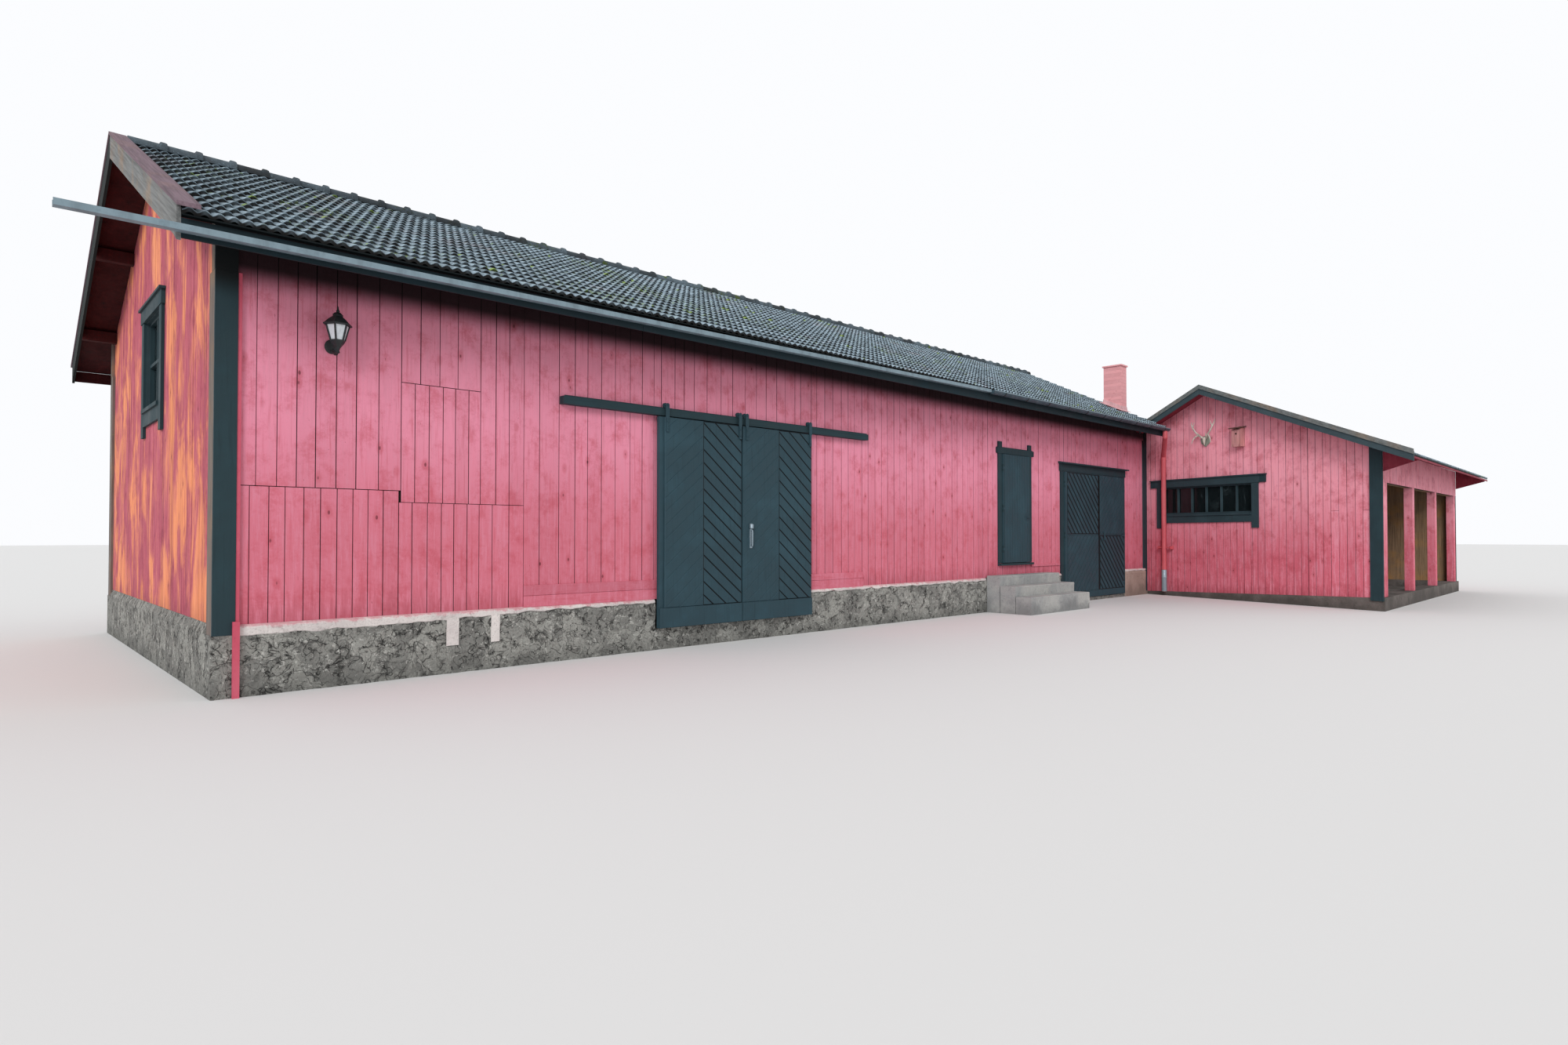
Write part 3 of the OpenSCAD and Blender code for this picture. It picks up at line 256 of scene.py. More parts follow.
def painted_boards(paint, thick, worn, along="z", wear=0.45, foot=None, eave=None, sun=None,
                   pale=None):
    """Sawn boards under faded paint, with grain, knots, blotches and a damp foot, and painted shade that
    goes near black below the eave height.
    pale is (height, height, colour) where painted light makes the paint lighter upwards, against the shade
    under the eave."""
    f = Finish(paint, Specular_IOR_Level=0.3)
    grain = f.cloud(1.0, 6, 0.65, f.grain(along), 0.4)
    fine = f.cloud(1.0, 3, 0.7, f.stretch(160, 160, 9))
    blotch = f.cloud(3.2, 8, 0.74)
    streak = f.cloud(1.0, 6, 0.7, f.stretch(22, 22, 2.0))
    # Painted light: the paint gets lighter upwards, against the shade under the eave.
    if pale:
        f.coat(f.height(), pale[0], pale[1], 0.7, pale[2])
    f.coat(streak, 0.44, 0.66, wear, worn)
    f.coat(blotch, 0.46, 0.68, 0.5, thick)
    f.coat(grain, 0.50, 0.78, 0.55, thick)
    f.coat(fine, 0.55, 0.80, 0.30, worn)
    f.coat(f.cloud(26.0, 4, 0.7), 0.52, 0.74, 0.35, worn)
    # Painted sunlight: orange patches of dappled sun over the boards, partly sun-bleached paint.
    if sun:
        patch = f.cloud(1.0, 6, 0.62, f.stretch(2.0, 2.0, 0.9), 0.6)
        f.coat(f.sum("ADD", patch, f.curve(grain, 0.3, 0.7, 0.05, -0.07)), 0.44, 0.62, 0.8, sun)
        f.coat(f.cloud(1.0, 3, 0.6, f.stretch(55, 55, 0.5)), 0.58, 0.68, 0.55, dim(thick, 0.4))
    knots = f.cells(5.5, f.stretch(1, 1, 0.55))["Distance"]
    f.coat(knots, 0.10, 0.24, 0.0, thick, 0.35)
    f.coat(knots, 0.04, 0.08, 0.0, dim(thick, 0.2), 0.7)
    f.coat(f.cloud(1.0, 3, 0.7, f.stretch(60, 60, 16)), 0.69, 0.73, 0.6, dim(thick, 0.35))
    if foot:
        f.coat(f.ragged_height(streak, 0.12), foot, foot + 0.3, 0.0, dim(thick, 0.5), 0.35)
    # Painted shade: the paint goes near black over the last 0.26 m up to the eave height, where the eave's
    # shadow falls.
    if eave:
        f.coat(f.height(), eave - 0.26, eave, 0.985, srgb(20, 2, 6))
    f.relief(f.sum("ADD", grain, f.sum("MULTIPLY", fine, 0.4)), 0.004, 0.5)
    return f.done(f.curve(blotch, 0.3, 0.7, 0.78, 0.93))


def dark_paint(paint, along="z", gloss=0.55, shine=0.25, eave=None):
    """Black-green paint with dust and scuffs, with painted shade that goes near black below the eave
    height.
    """
    f = Finish(paint, Specular_IOR_Level=shine)
    grain = f.cloud(1.0, 5, 0.6, f.grain(along), 0.3)
    dust = f.cloud(2.2, 6, 0.65)
    f.coat(dust, 0.42, 0.72, 0.4, dim(paint, 1.8, 0.004))
    f.coat(grain, 0.5, 0.85, 0.6, dim(paint, 0.4))
    f.coat(f.cloud(18.0, 6, 0.7), 0.68, 0.74, 0.45, dim(paint, 2.6, 0.02))
    # Painted shade: near black over the last 0.25 m up to the eave height, under the eave's shadow.
    if eave:
        f.coat(f.height(), eave - 0.25, eave, 0.9, srgb(8, 8, 8))
    f.relief(grain, 0.003, 0.4)
    return f.done(f.curve(dust, 0.3, 0.75, gloss, gloss + 0.3))


def bare_wood(tint, along="z", warm=0.2, roof=None, behind=None):
    """Old unpainted boards with silver grain and lichen. roof is (ridge's y, slope)."""
    f = Finish(tint, Specular_IOR_Level=0.3)
    far = f.axis(1)
    if roof:
        f.lean(*roof)
    grain = f.cloud(1.0, 7, 0.65, f.grain(along), 0.5)
    f.coat(grain, 0.35, 0.7, 0.8, dim(tint, 0.42))
    f.coat(f.cloud(2.4, 5, 0.6), 0.45, 0.7, warm, srgb(176, 128, 72))
    f.coat(f.cloud(26.0, 4, 0.7), 0.64, 0.70, 0.6, srgb(120, 128, 84))
    if behind:
        f.base = f.blend(f.curve(far, roof[0] - 0.01, roof[0] + 0.01), f.base, behind)
    f.relief(grain, 0.005, 0.6)
    return f.done(0.9)


def tile_finish(tint, moss):
    """Matt pantiles, stained and mossy."""
    f = Finish(tint, Specular_IOR_Level=0.4)
    speck = f.cloud(30.0, 5, 0.8)
    f.coat(f.cloud(3.4, 7, 0.75), 0.38, 0.62, 0.75, dim(tint, 0.34))
    f.coat(speck, 0.55, 0.68, 0.6, dim(tint, 2.6))
    f.coat(f.cloud(1.6, 4, 0.6), 0.55, 0.75, 0.35, srgb(128, 108, 112))
    thin = f.sum("ADD", f.curve(f.cells(2.3)["Distance"], 0.06, 0.20, 0.28, 0.0),
                 f.curve(f.cloud(0.7, 3, 0.5), 0.45, 0.7, 0.0, 0.10))
    thin = f.curve(f.sum("ADD", thin, f.cloud(26.0, 5, 0.75)), 0.61, 0.70)
    f.base = f.blend(f.sum("MULTIPLY", thin, 0.9), f.base, moss)
    f.relief(f.sum("ADD", speck, f.sum("MULTIPLY", thin, 1.2)), 0.006, 0.6)
    return f.done(f.curve(speck, 0.4, 0.7, 0.7, 0.92))


def stone_finish(tint, pale, lumps=9.0, depth=0.02, stain=None):
    """Stone or lime mortar, patchy and damp at the foot. stain is paint along its top."""
    f = Finish(tint, Specular_IOR_Level=0.3)
    lump = f.cloud(lumps, 8, 0.7)
    spots = f.cells(46.0)["Distance"]
    patch = f.cloud(1.4, 5, 0.6)
    f.coat(patch, 0.4, 0.65, 0.8, pale)
    f.coat(lump, 0.52, 0.75, 0.7, dim(tint, 0.42))
    f.coat(spots, 0.05, 0.35, 0.0, dim(tint, 0.5), 0.45)
    f.coat(f.ragged_height(patch, 0.12), 0.0, 0.28, 0.0, dim(tint, 0.4), 0.55)
    if stain:
        f.coat(f.ragged_height(lump, 0.02), PLINTH - 0.03, PLINTH - 0.005, 0.6, stain)
    f.relief(f.sum("ADD", lump, f.sum("MULTIPLY", spots, 0.3)), depth, 0.8)
    return f.done(0.92)


def rubble_finish(tint, pale):
    """Rough stone under old lime, with dark cracks and light lichen, damp at the foot."""
    f = Finish(tint, Specular_IOR_Level=0.3)
    bent = f.bend(5.0, 0.45)
    lump = f.cloud(9.0, 10, 0.78, None, 0.6)
    edges = f.cells(9.0, bent, "DISTANCE_TO_EDGE")["Distance"]
    crack = f.sum("MULTIPLY", f.curve(edges, 0.0, 0.05, 1.0, 0.0), f.curve(lump, 0.42, 0.6))
    grit = f.cloud(48.0, 5, 0.8)
    f.coat(f.cells(4.2, bent)["Color"], 0.3, 0.7, 0.75, pale, 0.1)
    f.coat(lump, 0.50, 0.60, 0.85, dim(tint, 0.30))
    f.coat(grit, 0.52, 0.62, 0.6, dim(tint, 0.34))
    f.coat(f.cloud(17.0, 5, 0.75), 0.57, 0.64, 0.75, srgb(204, 204, 198))
    f.base = f.blend(f.sum("MULTIPLY", crack, 0.85), f.base, dim(tint, 0.08))
    f.coat(f.ragged_height(lump, 0.10), 0.0, 0.2, 0.0, dim(tint, 0.35), 0.4)
    f.relief(f.sum("SUBTRACT", f.sum("ADD", lump, f.sum("MULTIPLY", grit, 0.3)), crack), 0.03, 0.9)
    return f.done(0.92)


def metal_finish(tint, shine, rough, stain):
    """Painted or galvanised sheet with run-off streaks."""
    f = Finish(tint, Metallic=shine)
    bloom = f.cloud(18.0, 5, 0.7)
    f.coat(f.cloud(1.0, 5, 0.6, f.stretch(9, 9, 2)), 0.4, 0.75, 0.6, stain)
    f.coat(bloom, 0.55, 0.75, 0.45, dim(tint, 0.55))
    f.relief(bloom, 0.001, 0.5)
    return f.done(f.curve(bloom, 0.3, 0.7, rough - 0.08, rough + 0.2))


def brick_finish(tint):
    """A painted brick shaft."""
    f = Finish(tint)
    upright = f.node("Mapping", ("Rotation", (math.pi / 2, 0, 0)), ("Vector", f.place)).outputs[0]
    brick = f.node("TexBrick", ("Vector", upright), ("Scale", 1.0), ("Mortar Size", 0.008),
                   ("Brick Width", 0.145), ("Row Height", 0.075), ("Mortar Smooth", 0.4),
                   ("Bias", 0.0), ("Color1", tint), ("Color2", dim(tint, 0.9)),
                   ("Mortar", dim(tint, 0.84))).outputs
    wash = f.cloud(5.0, 6, 0.65)
    f.base = brick["Color"]
    f.coat(wash, 0.42, 0.72, 0.6, srgb(226, 164, 168))
    f.coat(f.cloud(14.0, 5, 0.7), 0.6, 0.72, 0.5, srgb(160, 84, 92))
    f.relief(f.sum("SUBTRACT", wash, brick["Fac"]), 0.006, 0.5)
    return f.done(0.88)


def pane_finish():
    """Old window glass, dusty, with a dark base colour that is painted shade of the dark room behind it.
    """
    f = Finish(srgb(22, 30, 32), IOR=1.45, Specular_IOR_Level=0.35, Transmission_Weight=0.3)
    scratch = f.cloud(1.0, 5, 0.75, f.stretch(30, 30, 3))
    f.coat(f.cloud(2.0, 6, 0.7, f.stretch(3, 3, 1.2), 1.5), 0.5, 0.85, 0.5, srgb(92, 108, 112))
    f.relief(scratch, 0.0008, 0.3)
    return f.done(f.curve(scratch, 0.45, 0.75, 0.06, 0.30))


def milk_glass():
    """White lantern glass, a little grimy."""
    f = Finish(srgb(214, 220, 226))
    grime = f.cloud(16.0, 5, 0.7)
    f.coat(grime, 0.45, 0.75, 0.6, srgb(150, 154, 156))
    f.relief(grime, 0.0005, 0.3)
    return f.done(f.curve(grime, 0.4, 0.7, 0.25, 0.5))


def make_finishes(c):
    """Every material of the barn, by the plain name that the pieces ask for."""
    red, old, sun = tuple(c.red), tuple(c.red_dark), tuple(c.red_sun)
    worn = tuple(v * 0.45 + s * 0.55 for v, s in zip(red, srgb(222, 156, 178)))
    trim, door = tuple(c.trim), tuple(c.door)
    main_roof, wing_roof = (RIDGE_Y, SLOPE), (WING_RIDGE_Y, WING_SLOPE)
    finishes = {
        # The wall red has painted shade below the eave height and painted light that makes it lighter
        # upwards.
        "wall red": painted_boards(red, old, worn, foot=0.55, eave=3.62,
                                   pale=(1.2, 2.6, srgb(240, 154, 180))),
        # The gable red has patches of painted sunlight, partly sun-bleached paint.
        "gable red": painted_boards(srgb(178, 84, 102), srgb(138, 50, 72), srgb(206, 112, 118),
                                    wear=0.5, foot=0.5, sun=sun),
        # The wing red gets lighter upwards: painted light against the shade under its eave.
        "wing red": painted_boards(srgb(212, 104, 122), srgb(176, 60, 72), srgb(230, 160, 178),
                                   foot=0.12, pale=(0.8, 2.5, srgb(255, 178, 194))),
        # The eaves' undersides: red paint made near black, and for the wing a darker red, as painted shade
        # under the overhang.
        "eave red": painted_boards(srgb(54, 5, 6), srgb(26, 2, 4), srgb(76, 10, 12), "y"),
        "wing eave red": painted_boards(srgb(132, 46, 62), srgb(92, 26, 38), srgb(150, 66, 80), "y"),
        "skirting red": painted_boards(dim(red, 0.95), old, worn, "x"),
        "trim": dark_paint(trim),
        # The corner trim has painted shade, near black below the eave height.
        "corner trim": dark_paint(trim, eave=3.52),
        "trim level": dark_paint(trim, "x"),
        "fascia": dark_paint(srgb(22, 38, 44), "x", 0.6, 0.2),
        # The eave lip: black-green paint like the fascia's, made darker as painted shade under the tiles'
        # edge.
        "eave black": dark_paint(srgb(16, 22, 24), "x", 0.7, 0.12),
        "wing barge": dark_paint(srgb(56, 72, 78), "x"),
        "sash": dark_paint(srgb(44, 62, 68)),
        "door": dark_paint(door),
        "bare": bare_wood(tuple(c.bare)),
        "bare inside": bare_wood(srgb(150, 122, 96), "z", 0.5),
        "floor wood": bare_wood(srgb(140, 122, 104), "y", 0.3),
        "barge wood": bare_wood(srgb(128, 130, 130), "y", 0.3, main_roof, srgb(26, 34, 34)),
        "verge wood": bare_wood(srgb(124, 104, 114), "y", 0.1, main_roof),
        "wing verge wood": bare_wood(srgb(118, 124, 124), "y", 0.2, wing_roof),
        "nest wood": bare_wood(srgb(208, 146, 146), "z", 0.1),
        "nest roof": bare_wood(srgb(92, 66, 56), "x", 0.1),
        "bone": bare_wood(srgb(208, 202, 192), "z", 0.1),
        "shield": bare_wood(srgb(146, 158, 146), "z", 0.1),
        "tile": tile_finish(tuple(c.tile), tuple(c.moss)),
        "stone": rubble_finish(tuple(c.stone), srgb(170, 170, 164)),
        "plinth end": stone_finish(srgb(158, 138, 128), srgb(178, 160, 148), 14, 0.01),
        # The wing's plinth is dark stone: painted shade that stands for the shadow gap under the wing's
        # boards.
        "low stone": stone_finish(srgb(96, 90, 86), srgb(118, 110, 106)),
        "ledge": stone_finish(srgb(204, 196, 194), srgb(226, 220, 216), 14, 0.012,
                              srgb(204, 122, 136)),
        "granite": stone_finish(srgb(152, 154, 154), srgb(178, 178, 174), 26, 0.008),
        "slab": stone_finish(srgb(128, 124, 120), srgb(146, 142, 138), 30, 0.004),
        "zinc": metal_finish(tuple(c.zinc), 0.4, 0.5, srgb(104, 118, 130)),
        "gutter zinc": metal_finish(srgb(126, 146, 156), 0.3, 0.55, srgb(92, 106, 114)),
        "dark iron": metal_finish(srgb(30, 38, 42), 0.3, 0.5, srgb(58, 56, 54)),
        "round gutter": metal_finish(srgb(50, 70, 80), 0.2, 0.45, srgb(86, 108, 118)),
        # The bead is paler than the gutter: a painted highlight along its rim.
        "gutter bead": metal_finish(srgb(130, 154, 164), 0.2, 0.4, srgb(84, 106, 116)),
        "red pipe": metal_finish(srgb(188, 78, 88), 0.0, 0.55, srgb(208, 106, 110)),
        "cable red": metal_finish(srgb(192, 74, 96), 0.0, 0.6, srgb(206, 100, 120)),
        "lead": metal_finish(srgb(214, 168, 172), 0.1, 0.6, srgb(170, 128, 132)),
        "brick": brick_finish(srgb(232, 162, 166)),
        "pane": pane_finish(),
        "milk glass": milk_glass(),
    }
    for name, mat in finishes.items():
        mat.name = name.replace(" ", "_")
    return finishes


FINISH = {}

# Tone of the joints between boards: painted shade in their grooves and gaps
JOINT_SHADE = -0.86


def height_at(z, x):
    """A height that is a number, or a curve along the wall."""
    return z(x) if callable(z) else z


# Shapes
class Shape:
    """Skins of joined outlines that are gathered into one mesh."""

    def __init__(self):
        self.points, self.faces, self.tones = [], [], []

    def loft(self, *loops, tone=0.0, caps=True):
        """Joins closed outlines of the same count of points, in order. tone may be a list, with
        one number for each outline or one list for each outline's points."""
        first, n = len(self.points), len(loops[0])
        for k, loop in enumerate(loops):
            shade = tone[k] if isinstance(tone, list) else tone
            self.points += [tuple(p) for p in loop]
            self.tones += shade if isinstance(shade, list) else [shade] * n
        for k in range(len(loops) - 1):
            a = first + k * n
            for i in range(n):
                j = (i + 1) % n
                self.faces.append((a + i, a + j, a + n + j, a + n + i))
        if caps:
            self.faces.append(tuple(range(first + n - 1, first - 1, -1)))
            self.faces.append(tuple(range(first + (len(loops) - 1) * n, first + len(loops) * n)))

    def box(self, low, high, tone=0.0):
        (x0, y0, z0), (x1, y1, z1) = low, high
        self.loft(*[[(x0, y0, z), (x1, y0, z), (x1, y1, z), (x0, y1, z)] for z in (z0, z1)], tone=tone)

    def turned(self, centre, rings, sides=24, turn=0.0, tone=0.0):
        """Rings of (radius, height) round an upright axis."""
        c = Vector(centre)
        self.loft(*[[c + Vector((r * math.cos(turn + math.tau * i / sides),
                                 r * math.sin(turn + math.tau * i / sides), z)) for i in range(sides)]
                    for r, z in rings], tone=tone)

    def strand(self, points, radii, sides=8, tone=0.0):
        """A round bar along points, with a radius at each."""
        points = [Vector(p) for p in points]
        loops, side = [], None
        for i, p in enumerate(points):
            ahead = (points[min(i + 1, len(points) - 1)] - points[max(i - 1, 0)]).normalized()
            if side is None:
                side = ahead.orthogonal().normalized()
            side = (side - ahead * side.dot(ahead)).normalized()
            other = ahead.cross(side)
            loops.append([p + (side * math.cos(math.tau * k / sides)
                               + other * math.sin(math.tau * k / sides)) * radii[i] for k in range(sides)])
        self.loft(*loops, tone=tone)

    def prism(self, place, outline, x0, x1, tone=0.0):
        """Carries an outline of (out, z) along a wall, from x0 to x1."""
        self.loft(*[[place(x, out, z) for out, z in outline] for x in (x0, x1)], tone=tone)

    def board(self, place, x0, x1, low, high, face, back, bevel=0, tone=0.0, free=False):
        """An upright board between two heights. A free one has no painted shade of joints on its edges."""
        if bevel:
            rim = [(x0, back), (x1, back), (x1, face - bevel), (x1 - bevel, face),
                   (x0 + bevel, face), (x0, face - bevel)]
            tones = [JOINT_SHADE, JOINT_SHADE, JOINT_SHADE, tone, tone, JOINT_SHADE]
        else:
            rim = [(x0, back), (x1, back), (x1, face), (x0, face)]
            tones = [tone, tone, JOINT_SHADE, JOINT_SHADE]
        if free:
            tones = [tone] * len(rim)
        self.loft(*[[place(x, out, height_at(end, x)) for x, out in rim] for end in (low, high)],
                  tone=[tones, tones])

    def piece(self, name, finish, slot, body="barn", replaces=(), smooth=False, closed=True, cuts=()):
        """Makes the Blender object. cuts are planes (point, outward normal) that trim it."""
        mesh = bpy.data.meshes.new(name)
        mesh.from_pydata(self.points, [], self.faces)
        marks = mesh.attributes.new("tone", "FLOAT", "POINT")
        marks.data.foreach_set("value", self.tones)
        work = bmesh.new()
        work.from_mesh(mesh)
        if closed:
            bmesh.ops.recalc_face_normals(work, faces=work.faces)
        for point, outward in cuts:
            bmesh.ops.bisect_plane(work, geom=work.verts[:] + work.edges[:] + work.faces[:],
                                   plane_co=point, plane_no=outward, clear_outer=True)
            if closed:
                rim = [e for e in work.edges if e.is_boundary]
                bmesh.ops.holes_fill(work, edges=rim, sides=0)
        if smooth:
            for face in work.faces:
                face.smooth = True
        work.to_mesh(mesh)
        work.free()
        obj = bpy.data.objects.new(name, mesh)
        bpy.context.scene.collection.objects.link(obj)
        mesh.materials.append(FINISH[finish])
        if smooth:
            mesh.set_sharp_from_angle(angle=math.radians(40))
        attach(obj, body)
        for node in replaces:
            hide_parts(node)
        return obj


class Boards(Shape):
    """Upright boards with chance in their widths, faces and tones."""
    thick = 0.02
    backing_width = 0.2

    def __init__(self, sizes, dice):
        super().__init__()
        self.sizes, self.dice = sizes, dice

    def joints(self, ends, width):
        """Board joints that fill each stretch between ends, a little uneven."""
        joints = [ends[0]]
        for x0, x1 in zip(ends, ends[1:]):
            count = max(1, round((x1 - x0) / width))
            step = (x1 - x0) / count
            joints += [x0 + i * step + self.dice.uniform(-0.012, 0.012) for i in range(1, count)]
            joints.append(x1)
        return joints

    def clad(self, place, joints, low, high, holes=(), tone=0.16, width=None, plain=False, fixed=None):
        """Boards round holes (x0, x1, z0, z1). joints is a list, or a tuple of ends to fill.
        plain is the backing through the wall, and fixed the tone and face of one board."""
        sizes, back = self.sizes, -WALL if plain else -self.thick
        if isinstance(joints, tuple):
            joints = self.joints(joints, width or (self.backing_width if plain else sizes.board))
        for a, b in zip(joints, joints[1:]):
            edges = sorted({a, b, *(h for hole in holes for h in hole[:2] if a < h < b)})
            shade = fixed[0] if fixed else self.dice.uniform(-tone, tone)
            gap = bevel = 0.0
            face = 0.001 - self.thick
            if not plain:
                face = fixed[1] if fixed else self.dice.uniform(-sizes.proud, 0)
                gap = sizes.gap * (0.5 + abs(math.sin(a * 57)) * 1.1)
                bevel = sizes.groove
            for p, q in zip(edges, edges[1:]):
                ends = [low]
                for z0, z1 in sorted(hole[2:] for hole in holes if hole[0] < (p + q) / 2 < hole[1]):
                    ends += [z0, z1]
                ends.append(high)
                for foot, top in zip(ends[::2], ends[1::2]):
                    self.board(place, p + gap, q - gap, foot, top, face, back, bevel, shade)


def roof_top(y):
    return RIDGE_Z - abs(y - RIDGE_Y) * SLOPE


def wall_top(y):
    return roof_top(y) - ROOF_DOWN - 0.001


def wing_top(y):
    return WING_TOP - abs(y - WING_RIDGE_Y) * WING_SLOPE


def wing_wall_top(y):
    return wing_top(y) - WING_ROOF_DOWN - 0.001


def wing_sill(s):
    return 0.075 + 0.165 * max(0.0, s) / WING_FRONT


# Places on the walls: along the wall, out from its face, and up. In the wing, s runs along its
# gable from the inner corner, and d from the gable into the wing
def on_front(x, out, z):
    return Vector((x, -out, z))


def on_gable(y, out, z):
    return Vector((-out, y, z))


def on_rear(x, out, z):
    return Vector((x, DEPTH + out, z))


def in_wing(s, d, z):
    return Vector((LENGTH - math.sin(SKEW) * s + math.cos(SKEW) * d,
                   -math.cos(SKEW) * s - math.sin(SKEW) * d, z))


def on_wing(s, out, z):
    return in_wing(s, -out, z)


def on_end(s, out, z):
    return in_wing(s, -END_OUT + out, z)


WING_INTO = in_wing(0, 1, 0) - in_wing(0, 0, 0)
# The plane of the end wall, which trims the barn's pieces and the wing's
AT_END = [(in_wing(0, -END_OUT, 0), WING_INTO)]
AT_WING = [(in_wing(0, -END_OUT, 0), -WING_INTO)]

# Board joints as they lie on the real walls, measured on straightened pictures that begin
# PICTURE_START before the corner, in parts of a metre
PICTURE_START = 0.1
FRONT_PARTS = 180
WING_PARTS = 250


def measured(parts, *marks):
    """Marks along a straightened picture as metres from the wall's corner."""
    return [mark / parts - PICTURE_START for mark in marks]


FRONT_LOWER = [0.002] + measured(
    FRONT_PARTS, 60, 86, 108, 134, 158, 182, 206, 229, 253, 278, 300, 326, 350, 372, 396, 418, 443, 475,
    504)
FRONT_UPPER = [0.002] + measured(FRONT_PARTS, 68, 96, 123, 150, 180, 210, 245, 281)
FRONT_ABOVE_PATCH = measured(FRONT_PARTS, 281, 313, 346, 378, 420)
FRONT_PATCH = measured(FRONT_PARTS, 281, 304, 328, 352, 374, 398, 420)
FRONT_BY_PATCH = measured(FRONT_PARTS, 420, 449, 475, 504)
FRONT_BEFORE_DOORS = measured(FRONT_PARTS, 504, 536, 577, 612, 640, 672, 704, 740, 770, 800) \
    + [SLIDING[0] - 0.001]
FRONT_OVER_DOORS = [SLIDING[0] + 0.001] + measured(
    FRONT_PARTS, 855, 880, 908, 944, 985, 1020, 1058, 1093, 1125, 1160, 1188, 1222) \
    + [SLIDING[1] - 0.001]
FRONT_AFTER_DOORS = [SLIDING[1] + 0.001] + measured(
    FRONT_PARTS, 1280, 1300, 1330, 1360, 1393, 1420, 1445, 1475, 1500)
WING_JOINTS = [-0.158] + measured(
    WING_PARTS, 30, 60, 92, 130, 165, 199, 237, 280, 318, 358, 400, 437, 480, 520, 560, 597, 636, 676,
    712, 750, 785, 823, 860, 897, 935, 968, 1005, 1040, 1076, 1112, 1148, 1185, 1218, 1252) \
    + [WING_FRONT - 0.002]


class BARN_OT_front_boards(bpy.types.Operator):
    """Boards of the front wall, with the patch and the seams of the real wall"""
    bl_idname = "barn.front_boards"
    bl_label = "Front wall boards"

    def execute(self, context):
        sizes = context.scene.barn_sizes
        dice = random.Random(sizes.seed)
        top, foot = wall_top(0.0) - 0.004, PLINTH + 0.001
        seam, patch_low, patch_high, lap = 1.757, 1.656, 2.78, 0.007
        lower_left = [x for x in FRONT_LOWER if x < 1.47]
        lower_right = [x for x in FRONT_LOWER if x > 1.44]
        clear = 0.002
        slide0, slide1, _, slide_top = SLIDING
        entry0, entry1, entry_foot, entry_top = ENTRANCE
        leaf0, leaf1, _, leaf_top = DOUBLE
        entry = (entry0 + clear, entry1 - clear)
        trimmed = [(in_wing(0, -0.002, 0), WING_INTO)]
        for name, node, cuts, rows in (
                ("front_boards_left", "front_wall_left", (),
                 ((FRONT_UPPER, seam + lap, top), (lower_left, foot, seam),
                  (lower_right, foot, patch_low - 0.006), (FRONT_ABOVE_PATCH, patch_high + lap, top),
                  (FRONT_PATCH, patch_low, patch_high), (FRONT_BY_PATCH, patch_low, top),
                  (FRONT_BEFORE_DOORS, foot, top))),
                ("front_boards_middle", "front_wall_middle", (),
                 ((FRONT_AFTER_DOORS, foot, top),
                  ((FRONT_AFTER_DOORS[-1], entry0 - clear), foot, top))),
                ("boards_over_doors", "walls_round_doors", (),
                 ((FRONT_OVER_DOORS, slide_top + clear, top), (entry, entry_top + clear, top),
                  (entry, foot, entry_foot),
                  ((leaf0 + clear, leaf1 - clear), leaf_top + clear, top))),
                ("front_boards_between", "front_wall_between_doors", (),
                 (((entry1 + clear, leaf0 - clear), foot, top),)),
                ("front_boards_end", "front_wall_end", trimmed,
                 (((leaf1 + clear, LENGTH - 0.004), foot, top),))):
            boards = Boards(sizes, dice)
            for joints, low, high in rows:
                boards.clad(on_front, joints, low, high)
            boards.piece(name, "wall red", "red_boards", replaces=[node], cuts=cuts)
        backs = Boards(sizes, dice)
        for x0, x1, low, high in ((WALL, slide0, PLINTH, top), (slide0, slide1, slide_top, top),
                                  (slide1, entry0, PLINTH, top), (entry0, entry1, entry_top, top),
                                  (entry0, entry1, PLINTH, entry_foot), (entry1, leaf0, PLINTH, top),
                                  (leaf0, leaf1, leaf_top, top), (leaf1, LENGTH, PLINTH, top)):
            backs.clad(on_front, (x0, x1), low + 0.001, high, plain=True)
        backs.piece("front_wall_frame", "bare inside", "floor_boards",
                    cuts=[(in_wing(0, -0.004, 0), WING_INTO)])
        skirts = Shape()
        for x0, x1, low, high in ((2.70, 4.38, 0.594, 0.711), (2.70, 4.38, 0.713, 0.822),
                                  (6.92, 8.1, 0.556, 0.711), (6.92, 8.1, 0.713, 0.806)):
            skirts.prism(on_front, [(0.0, low), (0.012, low), (0.016, low + 0.004),
                                    (0.016, high - 0.006), (0.011, high), (0.0, high)],
                         x0, x1, dice.uniform(-0.2, 0.1))
        skirts.prism(on_front, [(0.0, 0.76), (0.020, 0.76), (0.020, 0.80), (0.0, 0.81)], 12.965, 14.05,
                     -0.1)
        skirts.piece("front_skirting", "skirting red", "red_boards")
        return {"FINISHED"}


